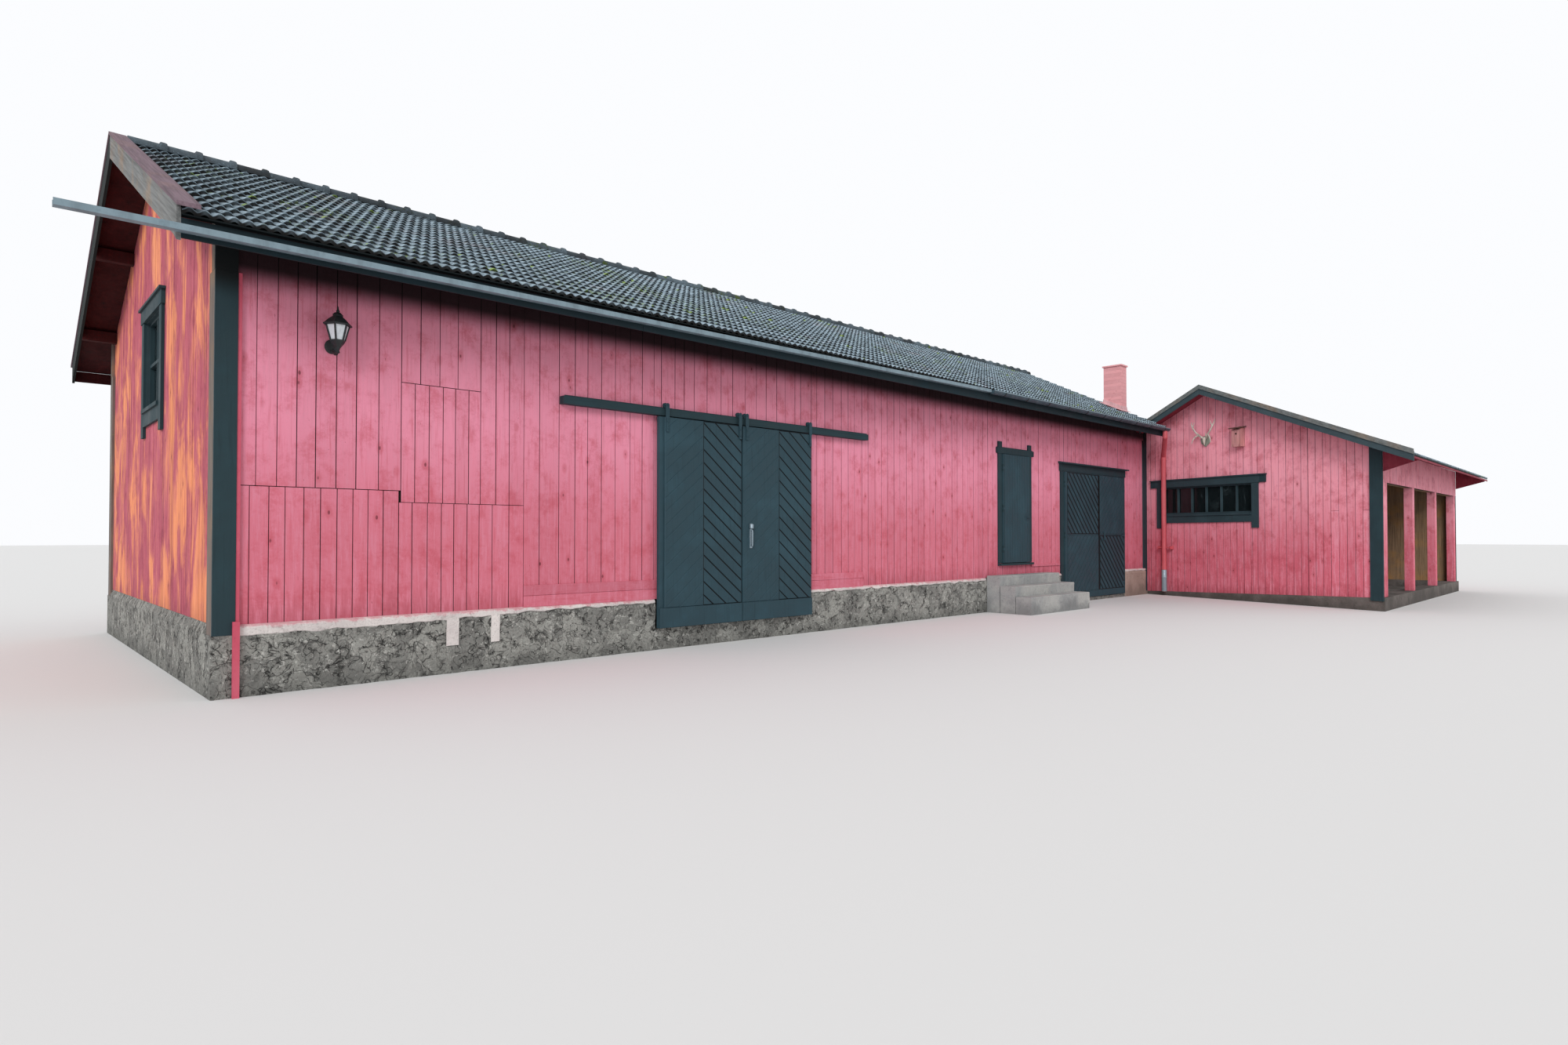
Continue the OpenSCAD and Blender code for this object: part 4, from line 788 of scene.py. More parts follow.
class BARN_OT_side_boards(bpy.types.Operator):
    """Boards of the left gable, the rear wall and the end wall over the wing"""
    bl_idname = "barn.side_boards"
    bl_label = "Gable and rear boards"

    def execute(self, context):
        sizes = context.scene.barn_sizes
        dice = random.Random(sizes.seed + 1)
        foot, eave, past_end = PLINTH + 0.001, wall_top(0.0), 20.2
        x0, x1, z0, z1 = GABLE_WINDOW
        window = [(x0, x1, z0 - SILL_DROP, z1)]

        def under_roof(y):
            return wall_top(y) - 0.004

        def end_top(s):
            return wall_top(on_end(s, 0.0, 0.0).y) - 0.03

        gable = Boards(sizes, dice)
        gable.clad(on_gable, (0.002, RIDGE_Y, DEPTH - 0.002), foot, under_roof, window, 0.25,
                   sizes.board * 0.72)
        gable.piece("gable_boards", "gable red", "red_boards", replaces=["left_gable_wall"])
        back = Boards(sizes, dice)
        back.clad(on_gable, [0.021, 1.2, 2.3, RIDGE_Y, 4.3, 5.5, DEPTH - 0.021], foot, under_roof,
                  window, plain=True)
        back.clad(on_rear, (WALL, past_end), foot, eave - 0.02, plain=True)
        back.piece("side_wall_frame", "bare inside", "floor_boards", cuts=AT_END)
        rear = Boards(sizes, dice)
        rear.clad(on_rear, (0.002, past_end), foot, eave - 0.004)
        rear.piece("rear_boards", "wall red", "red_boards", replaces=["rear_wall"], cuts=AT_END)
        # Where the end wall starts, has its ridge and ends, along its skewed face
        s_front = -0.14 / math.cos(SKEW) - WALL
        s_ridge, s_rear = (-(y - END_OUT * math.sin(SKEW)) / math.cos(SKEW)
                           for y in (RIDGE_Y, DEPTH - 0.16))
        end = Boards(sizes, dice)
        end.clad(on_end, (s_rear, s_ridge, s_front), foot, end_top)
        end.piece("end_boards", "wing red", "red_boards", replaces=["end_gable_wall"])
        lining = Boards(sizes, dice)
        lining.clad(on_end, [s_rear, -5.0, s_ridge, -2.0, s_front], foot, end_top, plain=True)
        lining.piece("end_wall_frame", "bare inside", "floor_boards")
        return {"FINISHED"}


class BARN_OT_wing_boards(bpy.types.Operator):
    """Boards and posts of the side wing"""
    bl_idname = "barn.wing_boards"
    bl_label = "Wing boards"

    def execute(self, context):
        sizes = context.scene.barn_sizes
        dice = random.Random(sizes.seed + 2)
        s0, s1, z0, z1 = WING_WINDOW
        hole = [(s0, s1, z0 - SILL_DROP, z1)]

        def foot(s):
            return wing_sill(s) + 0.001

        def under_roof(s, deep=0.02):
            return min(wing_wall_top(in_wing(s, d, 0).y) for d in (0.0, deep)) - 0.003

        def on_right(x, out, z):
            return Vector((x, WING_RIGHT_Y - out, z))

        def on_left(x, out, z):
            return Vector((x, WING_LEFT_Y + out, z))

        def on_back(y, out, z):
            return Vector((WING_END_X + out, y, z))

        def under_gable(y):
            return wing_wall_top(y) - 0.003

        front = Boards(sizes, dice)
        joints = sorted(WING_JOINTS + [WING_RIDGE])
        # Two boards are newer and paler below a seam, and one joint stands open
        mended, mended_top, open_joint, near = {4.204: 0.35, 4.772: 0.45}, 1.799, 3.772, 0.004
        for a, b in zip(joints, joints[1:]):
            if b - a < 0.012:
                continue
            new = next((tone for s, tone in mended.items() if abs(a - s) < near), None)
            if new:
                face = random.Random(1).uniform(-sizes.proud, 0)
                front.clad(on_wing, [a, b], foot, mended_top, fixed=(new, face))
                front.clad(on_wing, [a, b], mended_top + 0.005, under_roof)
            else:
                wide = 0.006 if abs(a - open_joint) < near else 0.0
                front.clad(on_wing, [a + wide, b], foot, under_roof, hole)
        front.piece("wing_gable_boards", "wing red", "red_boards", replaces=["wing_gable_wall"])
        sides, posts, backs = Boards(sizes, dice), Shape(), Boards(sizes, dice)
        low, high = 0.241, wing_wall_top(WING_LEFT_Y) - 0.004
        corner, far = WING_CORNER_X + 0.012, WING_END_X - 0.002
        band_low, band_top = BAY_TOP + 0.001, BAY_TOP - 0.001
        bay_x0 = WING_CORNER_X + 0.45
        pitch = (WING_END_X - WALL - bay_x0) / 3
        left_x = in_wing(-WING_LEFT_Y / math.cos(SKEW), -END_OUT, 0).x + 0.2
        sides.clad(on_right, (corner, far), band_low, high)
        sides.clad(on_right, (corner, bay_x0), low, band_top)
        for i in (1, 2, 3):
            x = bay_x0 + i * pitch
            posts.board(on_right, x - WALL, x - 0.001, low, band_top, 0.0, -WALL, 0.006,
                        dice.uniform(-0.1, 0.1), True)
        sides.clad(on_left, (left_x, far), low, high)
        sides.clad(on_back, (WING_RIGHT_Y + 0.002, WING_RIDGE_Y, WING_LEFT_Y - 0.002), low, under_gable)
        sides.piece("wing_side_boards", "wing red", "red_boards", replaces=["wing_side_walls"],
                    cuts=AT_WING)
        posts.piece("wing_posts", "wing red", "red_boards")
        inner_x, inner_high = WING_END_X - WALL, high - 0.002
        backs.clad(on_wing, [-0.157, s0, WING_RIDGE, s1, 4.0, WING_FRONT - 0.05], foot,
                   lambda s: under_roof(s, WALL), hole, plain=True)
        backs.clad(on_right, (corner + 0.2, inner_x), band_low, inner_high, plain=True)
        backs.clad(on_right, [corner + 0.2, bay_x0 - 0.001], low, band_top, plain=True)
        backs.clad(on_left, (left_x, inner_x), low, inner_high, plain=True)
        backs.clad(on_back, (WING_RIGHT_Y + WALL, WING_RIDGE_Y, WING_LEFT_Y - WALL), low, under_gable,
                   plain=True)
        backs.piece("wing_wall_frame", "bare inside", "floor_boards", cuts=AT_WING)
        return {"FINISHED"}


class BARN_OT_casings(bpy.types.Operator):
    """Window linings, upper ends of the corner boards, and long ends of the head boards"""
    bl_idname = "barn.casings"
    bl_label = "Casing details"

    def execute(self, context):
        lining, tops, greys, ends = Shape(), Shape(), Shape(), Shape()
        thick, lap = 0.006, 0.001
        for place, (x0, x1, z0, z1) in ((on_gable, GABLE_WINDOW), (on_wing, WING_WINDOW)):
            for a, b, low, high in ((x0 - lap, x0 + thick, z0, z1), (x1 - thick, x1 + lap, z0, z1),
                                    (x0 + thick, x1 - thick, z1 - thick, z1 + lap)):
                lining.board(place, a, b, low, high, lap, -0.031, free=True)
        lining.piece("window_linings", "sash", "dark_boards")

        def carry_up(shape, x0, x1, y0, y1):
            rim = ((x0, y0), (x1, y0), (x1, y1), (x0, y1))
            shape.loft([Vector((x, y, SOFFIT_Z + 0.001)) for x, y in rim],
                       [Vector((x, y, wall_top(y) - 0.012)) for x, y in rim])

        deep = 0.03
        for y, out in ((0.0, -1), (DEPTH, 1)):
            carry_up(tops, -deep, 0.133, y, y + out * deep)
            carry_up(greys, -deep, -0.001, y - out * 0.001, y - out * 0.10)
        carry_up(tops, 18.03, LENGTH - 0.004, 0.0, -deep)
        tops.piece("corner_board_tops", "corner trim", "dark_boards")
        greys.piece("gable_strip_tops", "bare", "weathered_boards")
        for x0, x1 in ((11.757, 11.787), (13.0, 13.03)):
            ends.prism(on_front, [(0.001, 2.829), (0.034, 2.831), (0.034, 2.926), (0.001, 2.928)], x0, x1)
        for s0, s1 in ((0.165, 0.294), (2.811, 2.94)):
            ends.prism(on_wing, [(0.001, 2.422), (0.034, 2.424), (0.034, 2.566), (0.001, 2.568)], s0, s1,
                       -0.1)
            ends.prism(on_wing, [(0.001, 2.5695), (0.056, 2.5695), (0.056, 2.592), (0.001, 2.594)],
                       s0 - 0.012, s1 + 0.012)
        ends.piece("head_board_ends", "trim level", "dark_boards")
        return {"FINISHED"}


# Roofs, whose courses and ridges run along X
ALONG = Vector((1, 0, 0))


def in_frame(x, y, z):
    return Vector((x, y, z))


def tile_field(corner, up, width, run, sizes, dice, skip=None, shape=None):
    """Lapped pantiles from an eave corner on the roof's top plane."""
    shape = shape or Shape()
    out = ALONG.cross(up).normalized()
    if out.z < 0:
        out = -out
    waves = max(1, round(width / sizes.tile_wave))
    courses = max(1, round(run / sizes.tile_course))
    wave, course = width / waves, run / courses
    rise, lift, parts = sizes.tile_rise, 0.038, 6
    swell = [(0.5 - 0.5 * math.cos(math.tau * k / parts)) ** 0.85 for k in range(parts + 1)]
    for j in range(courses):
        for i in range(waves):
            middle = corner + ALONG * (i + 0.5) * wave + up * (j + 0.5) * course
            if skip and skip(middle):
                continue
            slip, tilt = dice.uniform(-0.006, 0.006), dice.uniform(-0.0025, 0.0)
            shade = dice.uniform(-0.26, 0.14)
            first = len(shape.points)
            edge = j * course + (slip if j else 0.0)
            head = (j + 1) * course + (0.02 if j < courses - 1 else 0.0)
            # The tone holds painted shade and highlight: dark on each course's hanging lip and towards its
            # upper end under the next course, light along its front edge, lighter on the crests, darker in
            # the troughs.
            for along, drop, light in ((edge, 0.036, -0.95), (edge, 0.010, -0.9), (edge, 0.0, 0.85),
                                       (head, lift, -0.8)):
                for k, high in enumerate(swell):
                    shape.points.append(tuple(corner + ALONG * (i + k / parts) * wave + up * along
                                              + out * (-rise - drop + rise * high + tilt)))
                    shape.tones.append(light + shade + 0.5 * (high - 0.5))
            for a in (first + r * (parts + 1) + k for r in range(3) for k in range(parts)):
                shape.faces.append((a, a + 1, a + parts + 2, a + parts + 1))
    return shape


def ridge_run(start, run, sizes, dice, radius=0.087):
    """Lapped ridge tiles along a level line."""
    shape = Shape()
    count = round(run / sizes.ridge_tile)
    step = run / count
    side = ALONG.cross(Vector((0, 0, 1)))
    for i in range(count):
        # The ridge tiles' tone is dark: painted shade that keeps the sky-lit ridge dark.
        shade = dice.uniform(-0.8, -0.45)
        loops = []
        for t, r in ((0.0, radius * 0.74), (0.84, radius * 0.74), (0.88, radius), (1.0, radius),
                     (1.06, radius * 0.94)):
            centre = start + ALONG * ((i + min(t, (run - i * step) / step)) * step)
            loops.append([centre + side * (r * math.cos(a)) + Vector((0, 0, r * math.sin(a)))
                          for a in [math.radians(-18 + 216 * k / 10) for k in range(11)]])
        shape.loft(*loops, tone=shade)
    return shape


class BARN_OT_roofs(bpy.types.Operator):
    """Pantiles, ridge tiles and boarding of both roofs"""
    bl_idname = "barn.roofs"
    bl_label = "Tiled roofs"

    def execute(self, context):
        sizes = context.scene.barn_sizes
        dice = random.Random(sizes.seed + 3)
        self.main_roof(sizes, dice)
        self.wing_roof(sizes, dice)
        return {"FINISHED"}

    def main_roof(self, sizes, dice):
        run = (RIDGE_Y + EAVE_OUT) / math.cos(PITCH)
        up = Vector((0, math.cos(PITCH), math.sin(PITCH)))
        verge = [(in_wing(0, -VERGE_OUT, 0), WING_INTO)]
        low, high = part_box("chimney")
        front_end, rear_end = 20.9, 23.4

        def by_chimney(p):
            return low.x - 0.02 < p.x < high.x + 0.02 and low.y - 0.02 < p.y < high.y + 0.02

        for name, node, y, rise, end, skip in (
                ("front_tiles", "main_roof_front", -EAVE_OUT, up, front_end, by_chimney),
                ("rear_tiles", "main_roof_rear", DEPTH + EAVE_OUT, Vector((0, -up.y, up.z)), rear_end,
                 None)):
            field = tile_field(Vector((-GABLE_OUT, y, EAVE_Z)), rise, end + GABLE_OUT, run, sizes, dice,
                               skip)
            field.piece(name, "tile", "roof_tiles", replaces=[node], smooth=True, closed=False,
                        cuts=verge)
        ridge = ridge_run(Vector((-0.245, RIDGE_Y, RIDGE_Z - 0.027)), front_end + 0.245, sizes, dice)
        ridge.piece("ridge_tiles", "tile", "roof_tiles", replaces=["main_ridge"], smooth=True,
                    cuts=verge)
        deck, lip, fascia = Shape(), Shape(), Shape()
        top, fascia_top = -0.062, roof_top(-0.705) - ROOF_DOWN - 0.001
        for front, under in ((True, lip), (False, deck)):

            def on_slope(x, y, z):
                return Vector((x, y if front else DEPTH - y, z))

            for shape, outline in (
                    (deck, [(-0.40, top), (RIDGE_Y, top), (RIDGE_Y, -ROOF_DOWN), (-0.40, -ROOF_DOWN)]),
                    (under, [(-0.690, top), (-0.401, top), (-0.401, -ROOF_DOWN), (-0.679, -ROOF_DOWN),
                             (-0.690, top - 0.010)]),
                    (lip, [(-EAVE_OUT + 0.008, top - 0.010), (-EAVE_OUT + 0.008, top), (-0.6905, top),
                           (-0.6905, top - 0.010)])):
                shape.prism(on_slope, [(y, roof_top(y) + dz) for y, dz in outline],
                            -GABLE_OUT + 0.004, rear_end)
            seams = [-GABLE_OUT, 3.7, 7.6, 11.5, 15.4, 19.3, rear_end]
            for x0, x1 in zip(seams, seams[1:]):
                shade = dice.uniform(-0.12, 0.12)
                for shape, face, back in ((fascia, -0.705, -0.689), (under, -0.6885, -0.680)):
                    shape.prism(on_slope, [(face, SOFFIT_Z), (back, SOFFIT_Z), (back, fascia_top),
                                           (face, fascia_top)], x0, x1 - 0.003, shade)
        deck.piece("roof_boarding", "eave red", "red_boards", cuts=verge)
        lip.piece("eave_lip", "eave black", "dark_boards", cuts=verge)
        fascia.piece("fascia_boards", "fascia", "dark_boards", replaces=["eave_boards"],
                     cuts=[(in_wing(0, -END_OUT + 0.002, 0), WING_INTO)])

    def wing_roof(self, sizes, dice):
        steep = math.atan(WING_SLOPE)
        up = Vector((0, math.cos(steep), math.sin(steep)))
        down = Vector((0, -up.y, up.z))
        stop = WING_END_X + WING_VERGE
        eave, far_eave = WING_RIGHT_Y - WING_EAVE, WING_LEFT_Y + WING_EAVE
        gable = [(in_wing(0, -WING_VERGE, 0), -WING_INTO)]
        start, rear_start, ridge_start = in_wing(5.7, -WING_VERGE, 0).x - 0.1, 17.6, 17.2
        field = tile_field(Vector((start, eave, wing_top(eave))), up, stop - start,
                           (WING_RIDGE_Y - eave) / up.y, sizes, dice)
        tile_field(Vector((start, 0, wing_top(0))), down, stop - start, -WING_RIDGE_Y / up.y, sizes,
                   dice, shape=field)
        field.piece("wing_tiles", "tile", "roof_tiles", replaces=["wing_roof"], smooth=True,
                    closed=False, cuts=gable)
        field = tile_field(Vector((rear_start, far_eave, wing_top(far_eave))), down, stop - rear_start,
                           far_eave / up.y, sizes, dice)
        field.piece("wing_tiles_rear", "tile", "roof_tiles", smooth=True, closed=False, cuts=AT_WING)
        caps = ridge_run(Vector((ridge_start, WING_RIDGE_Y, WING_TOP - 0.045)), stop - ridge_start, sizes,
                         dice)
        caps.piece("wing_ridge_tiles", "tile", "roof_tiles", smooth=True, cuts=gable)
        top = -0.064
        for name, y0, y1, cuts in (("wing_boarding", eave + 0.008, WING_RIDGE_Y, gable),
                                   ("wing_boarding_left", WING_RIDGE_Y, 0.0, gable),
                                   ("wing_boarding_rear", 0.0, far_eave - 0.008, AT_WING)):
            deck = Shape()
            outline = ((y0, top), (y1, top), (y1, -WING_ROOF_DOWN), (y0, -WING_ROOF_DOWN))
            deck.prism(in_frame, [(y, wing_top(y) + dz) for y, dz in outline], start, stop - 0.004)
            deck.piece(name, "wing eave red", "red_boards", cuts=cuts)


# Doors
def clipped(polygon, lines):
    """Cuts a convex outline by half planes (a, b, c) that keep a*x + b*z <= c."""
    for a, b, c in lines:
        out = []
        for i, p in enumerate(polygon):
            q = polygon[(i + 1) % len(polygon)]
            dp, dq = a * p[0] + b * p[1] - c, a * q[0] + b * q[1] - c
            if dp <= 0:
                out.append(p)
            if dp * dq < 0:
                t = dp / (dp - dq)
                out.append((p[0] + (q[0] - p[0]) * t, p[1] + (q[1] - p[1]) * t))
        polygon = out
        if len(polygon) < 3:
            return []
    return polygon


def slanted(shape, panel, tilt, width, depth, bevel, gap, dice, y0, tone, joint):
    """Fills a panel (x0, x1, z0, z1) with boards that rise by tilt, the tangent of their slope.
    depth is (back, face)."""
    (x0, x1, z0, z1), (back, face) = panel, depth
    mid = max(back + 0.002, face - bevel * 0.9)
    corners = ((x0, z0), (x1, z0), (x1, z1), (x0, z1))
    # joint is painted into the backing and the bevels: painted shade in the grooves where it is under 0, a
    # painted highlight where it is over 0.
    shape.loft(*[[on_front(x, out, z) for x, z in corners] for out in (back, mid - 0.0004)], tone=joint)
    n, far = math.hypot(tilt, 1.0), 9.0
    rises = [z - tilt * x - y0 for x, z in corners]
    step = width * n
    for k in range(math.floor(min(rises) / step), math.ceil(max(rises) / step) + 1):
        low, high = y0 + k * step, y0 + (k + 1) * step

        def outline(inset):
            lines = [(-1, 0, -(x0 + inset)), (1, 0, x1 - inset), (0, -1, -(z0 + inset)),
                     (0, 1, z1 - inset), (-tilt / n, 1 / n, high / n - inset),
                     (tilt / n, -1 / n, -low / n - inset)]
            return clipped([(-far, -far), (far * 4, -far), (far * 4, far), (-far, far)], lines)

        rim, top = outline(gap), outline(gap + bevel)
        if len(rim) < 3:
            continue
        shade = dice.uniform(-tone, tone)
        loops = [[on_front(x, out, z) for x, z in rim] for out in (back, mid)]
        tones = [joint, shade]
        if len(top) == len(rim):
            loops.append([on_front(x, face, z) for x, z in top])
            tones = [joint, joint, shade]
        shape.loft(*loops, tone=tones)


class BARN_OT_sliding_doors(bpy.types.Operator):
    """Herringbone boards and lock of the sliding doors"""
    bl_idname = "barn.sliding_doors"
    bl_label = "Sliding doors"

    def execute(self, context):
        sizes = context.scene.barn_sizes
        dice = random.Random(sizes.seed + 4)
        z0, z1, tilt = 0.492, 2.738, 0.8
        for side, x0, x1, middle in (("left", 4.42, 5.62, 5.0), ("right", 5.645, 6.90, 6.28)):
            boards = Shape()
            # The rising boards' joints get a painted highlight, the falling boards' joints painted shade.
            for a, b, rise, bevel, gap, joint in ((x0 + 0.001, middle, tilt, 0.005, 0.0015, 0.3),
                                                  (middle, x1 - 0.001, -tilt, 0.007, 0.004, -0.97)):
                slanted(boards, (a, b, z0, z1), rise, sizes.door_board, (0.100, 0.112), bevel, gap, dice,
                        0.3 - rise * middle, 0.08, joint)
            boards.piece(f"{side}_herringbone", "door", "door_boards", body=f"{side}_sliding_leaf")
        lock = Shape()
        meeting, leaf_foot, leaf_height = 5.63, 0.26, 2.48
        x, z = meeting + 0.14, leaf_foot + leaf_height * 0.38
        lock.box((x - 0.017, -0.126, z - 0.022), (x + 0.017, -0.1, z + 0.292), 0.1)
        lock.turned((x, -0.132, z + 0.228), [(0.020, 0), (0.026, 0.006), (0.026, 0.05), (0.02, 0.058)], 16)
        pull = ((0.118, 0.0), (0.146, 0.006), (0.150, 0.03), (0.150, 0.18), (0.146, 0.204), (0.118, 0.21))
        lock.strand([(x, -out, z + up) for out, up in pull], [0.009] * len(pull))
        lock.piece("door_lock", "zinc", "galvanised", body="right_sliding_leaf", smooth=True)
        return {"FINISHED"}


class BARN_OT_hinged_doors(bpy.types.Operator):
    """Boards of the double doors and the entrance door"""
    bl_idname = "barn.hinged_doors"
    bl_label = "Hinged doors"

    def execute(self, context):
        sizes = context.scene.barn_sizes
        dice = random.Random(sizes.seed + 5)
        foot, split, top, half, width, back = 0.21, 1.36, 2.612, 0.012, 0.113, 0.0488
        for side, x0, x1, tilt, hinge_side, meeting, falling in (
                ("left", 14.21, 15.695, -1.0, 0.09, 0.055, 0.021),
                ("right", 15.703, 16.898, 1.0, 0.002, 0.03, 0.077)):
            boards = Shape()
            stop = x1 - meeting
            for z0, z1, rise in ((split + half, top, tilt), (foot, split - half, -tilt)):
                # Painted shade in the joints, darker on the falling boards than on the rising ones.
                bevel, gap, joint, phase = (0.010, 0.010, -0.97, falling) if rise < 0 \
                    else (0.005, 0.003, -0.6, 0.063)
                slanted(boards, (x0 + hinge_side, stop, z0, z1), rise, width, (back, 0.0575), bevel, gap,
                        dice, phase, 0.1, joint)
            # A near black strip behind the gap where the leaves meet: painted shade in the gap.
            if side == "left":
                boards.box((stop + 0.0005, -0.0515, foot), (x1 - 0.002, -back, top), -0.97)
            boards.piece(f"double_{side}_boards", "door", "door_boards", body=f"double_leaf_{side}")
        entry, left, step = Shape(), 11.961, 0.08675
        for i in range(10):
            entry.board(on_front, left + 0.002 + i * step, left + (i + 1) * step, 0.856, 2.808, 0.0565,
                        back, 0.004, dice.uniform(-0.1, 0.1))
        entry.piece("entrance_boards", "door", "door_boards", body="entrance_leaf")
        return {"FINISHED"}


# Stonework
def ragged(shape, place, x0, x1, section, sizes, step=0.06, amount=1.0, tone=0.0):
    """Carries an outline of (out, z, give) along a wall. Points are pushed in by up to give."""
    count = max(2, math.ceil((x1 - x0) / step))
    loops = []
    for i in range(count + 1):
        x = x0 + (x1 - x0) * i / count
        loop = []
        for out, z, give in section:
            p = place(x, out, z)
            dent = 0.5 + 0.5 * noise.noise(p * 5.5) + 0.35 * noise.noise(p * 17)
            push = min(1.0, max(0.0, dent)) * sizes.roughness * give * amount
            sag = max(0.0, noise.noise(p * 3.1)) * 0.5 * sizes.roughness * give if z > 0.05 else 0.0
            loop.append(place(x, out - push, z - sag))
        loops.append(loop)
    shape.loft(*loops, tone=tone)


class BARN_OT_stonework(bpy.types.Operator):
    """Rough front plinth with its mortar ledge, and the granite steps"""
    bl_idname = "barn.stonework"
    bl_label = "Plinth and steps"

    def execute(self, context):
        sizes = context.scene.barn_sizes
        out, deep, corner = 0.035, -0.3, 0.135
        base = [(out, 0.07 * i, 1) for i in range(7)] + [(out, 0.47, 0.8)]

        def behind(z):
            return [(deep, z, 0), (deep, 0.0, 0)]

        high = base + [(out, 0.515, 0.3), (0.002, PLINTH - 0.002, 0.15), (0.0, PLINTH, 0)] + behind(PLINTH)
        notched = base + [(out, 0.518, 0.3), (0.0, 0.52, 0)] + behind(0.52)
        low = base[:3] + [(out, 0.20, 1), (out, 0.245, 0.4), (0.0, 0.25, 0.1)] + behind(0.25)
        sill = [(out, 0.0, 1), (out, 0.04, 1), (out, 0.078, 0.5), (0.0, 0.08, 0.2),
                (-0.001, PLINTH, 0)] + behind(PLINTH)
        buried = [(o, min(z, 0.07), g) for o, z, g in sill]
        end = 16.966
        plinth = Shape()
        for x0, x1, section in ((-0.034, corner, notched), (corner, 4.35, high), (4.35, 6.89, low),
                                (6.89, 14.087, high), (14.087, DOUBLE[0], sill),
                                (DOUBLE[0], DOUBLE[1], buried), (DOUBLE[1], end, sill)):
            ragged(plinth, on_front, x0, x1, section, sizes)
        plinth.piece("rough_plinth", "stone", "stone", replaces=["front_plinth"])
        plinth = Shape()
        ragged(plinth, on_front, end, 18.05, high, sizes, amount=0.3)
        ragged(plinth, on_front, 18.05, LENGTH - 0.002, sill, sizes, amount=0.3)
        plinth.piece("rough_plinth_end", "plinth end", "stone")
        self.ledge(sizes, out, corner)
        steps = Shape()
        depth, rise, top_step = 0.3, 0.17, 0.64
        for i in range(3):
            front, back = depth * (i + 1), depth * i + (0.002 if i else out + 0.002)
            top = top_step - rise * i
            section = [(front - 0.004, 0.0, 0.5), (front, 0.06, 0.8), (front, top * 0.5, 0.8),
                       (front, top - 0.05, 0.6), (front - 0.002, top - 0.012, 0.3),
                       (front - 0.016, top, 0.15), ((front + back) / 2, top, 0.1), (back, top, 0),
                       (back, 0.0, 0)]
            for x0, x1 in ((11.4, 12.05), (12.052, 12.83), (12.832, 13.5)):
                ragged(steps, on_front, x0, x1, section, sizes, 0.05, 0.8,
                       tone=0.12 * math.sin(7 * i + x0 * 3))
        steps.piece("step_blocks", "granite", "granite", replaces=["granite_steps"])
        return {"FINISHED"}

    def ledge(self, sizes, out, corner):
        """The mortar under the boards, thick at the left, and two strips of it on the stone."""
        ledge, step = Shape(), 0.03
        for x0, x1 in ((corner + step, 4.34), (6.90, 11.38), (13.52, 14.08), (16.975, 18.045)):
            loops = []
            for i in range(math.ceil((x1 - x0) / step) + 1):
                x = min(x1, x0 + i * step)
                thin = min(1.0, max(0.0, (x - 1.2) / 1.8))
                low = PLINTH - 0.090 + 0.042 * thin + 0.022 * noise.noise((x * 6, 0, 3)) \
                    + 0.008 * noise.noise((x * 31, 0, 5))
                face = out - 0.001 + 0.004 * noise.noise((x * 9, 2, 1))
                loops.append([on_front(x, front, z) for front, z in (
                    (face - 0.006, low), (face, low + 0.007), (face, PLINTH - 0.028),
                    (face - 0.012, PLINTH - 0.012), (0.0, PLINTH + 0.001), (-0.002, PLINTH - 0.01),
                    (0.0, low + 0.007))])
            ledge.loft(*loops)
        proud = out + 0.003
        strip = [(out - 0.012, 0.27, 0), (proud, 0.272, 0.4), (proud, 0.40, 0.4), (proud, 0.50, 0.4),
                 (out, 0.55, 0.2), (out - 0.02, 0.56, 0)]
        for x0, x1 in ((1.89, 2.01), (2.34, 2.43)):
            ragged(ledge, on_front, x0, x1, strip, sizes, 0.02)
        ledge.piece("mortar_ledge", "ledge", "stone")


# Gutters, chimney and fittings
def arc(radius, start, turn, count):
    """Points (u, v) round a circle, from an angle through a turn, in degrees."""
    return [(radius * math.cos(a), radius * math.sin(a)) for a in
            [math.radians(start + turn * k / count) for k in range(count + 1)]]


class BARN_OT_gutter_fittings(bpy.types.Operator):
    """Hooks and bead of the round gutter, and the collars and shoe of the downpipe"""
    bl_idname = "barn.gutter_fittings"
    bl_label = "Gutter fittings"

    def execute(self, context):
        low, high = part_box("round_gutter")
        hooks, bead, collars, shoe = Shape(), Shape(), Shape(), Shape()
        y, radius, half, spacing = (low.y + high.y) / 2, 0.0625, 0.013, 0.72
        ring = [(y + u, high.z + v) for u, v in
                arc(radius + 0.004, 180, 180, 10) + arc(radius - 0.001, 360, -180, 10)]
        x = low.x + 0.35
        while x < high.x - 0.1:
            hooks.prism(in_frame, ring, x - half, x + half)
            x += spacing
        hooks.piece("gutter_hooks", "dark iron", "dark_metal")
        # The bead is the gutter's real rolled rim; its pale finish is a painted highlight.
        bead.strand([(x, low.y + 0.004, high.z - 0.004) for x in (low.x + 0.002, high.x - 0.002)],
                    [0.009, 0.009], 12)
        bead.piece("gutter_bead", "gutter bead", "dark_metal", smooth=True)
        foot = in_wing(0.59, -0.114, 0)
        pipe, wide, ribbed = 0.0495, 0.0535, 0.0565
        for z0, z1, r in ((3.04, 3.18, 0.054), (2.36, 2.42, wide), (0.58, 0.66, wide)):
            collars.turned(foot, [(pipe, z0), (r, z0 + 0.004), (r, z1 - 0.004), (pipe, z1)], 32)
        collars.piece("pipe_collars", "red pipe", "red_metal", smooth=True)
        shoe.turned(foot, [(0.050, 0.097), (wide, 0.102), (wide, 0.40), (ribbed, 0.405), (ribbed, 0.425),
                           (wide, 0.43), (wide, 0.575), (pipe, 0.58)], 32)
        shoe.piece("pipe_shoe", "zinc", "galvanised", smooth=True)
        return {"FINISHED"}


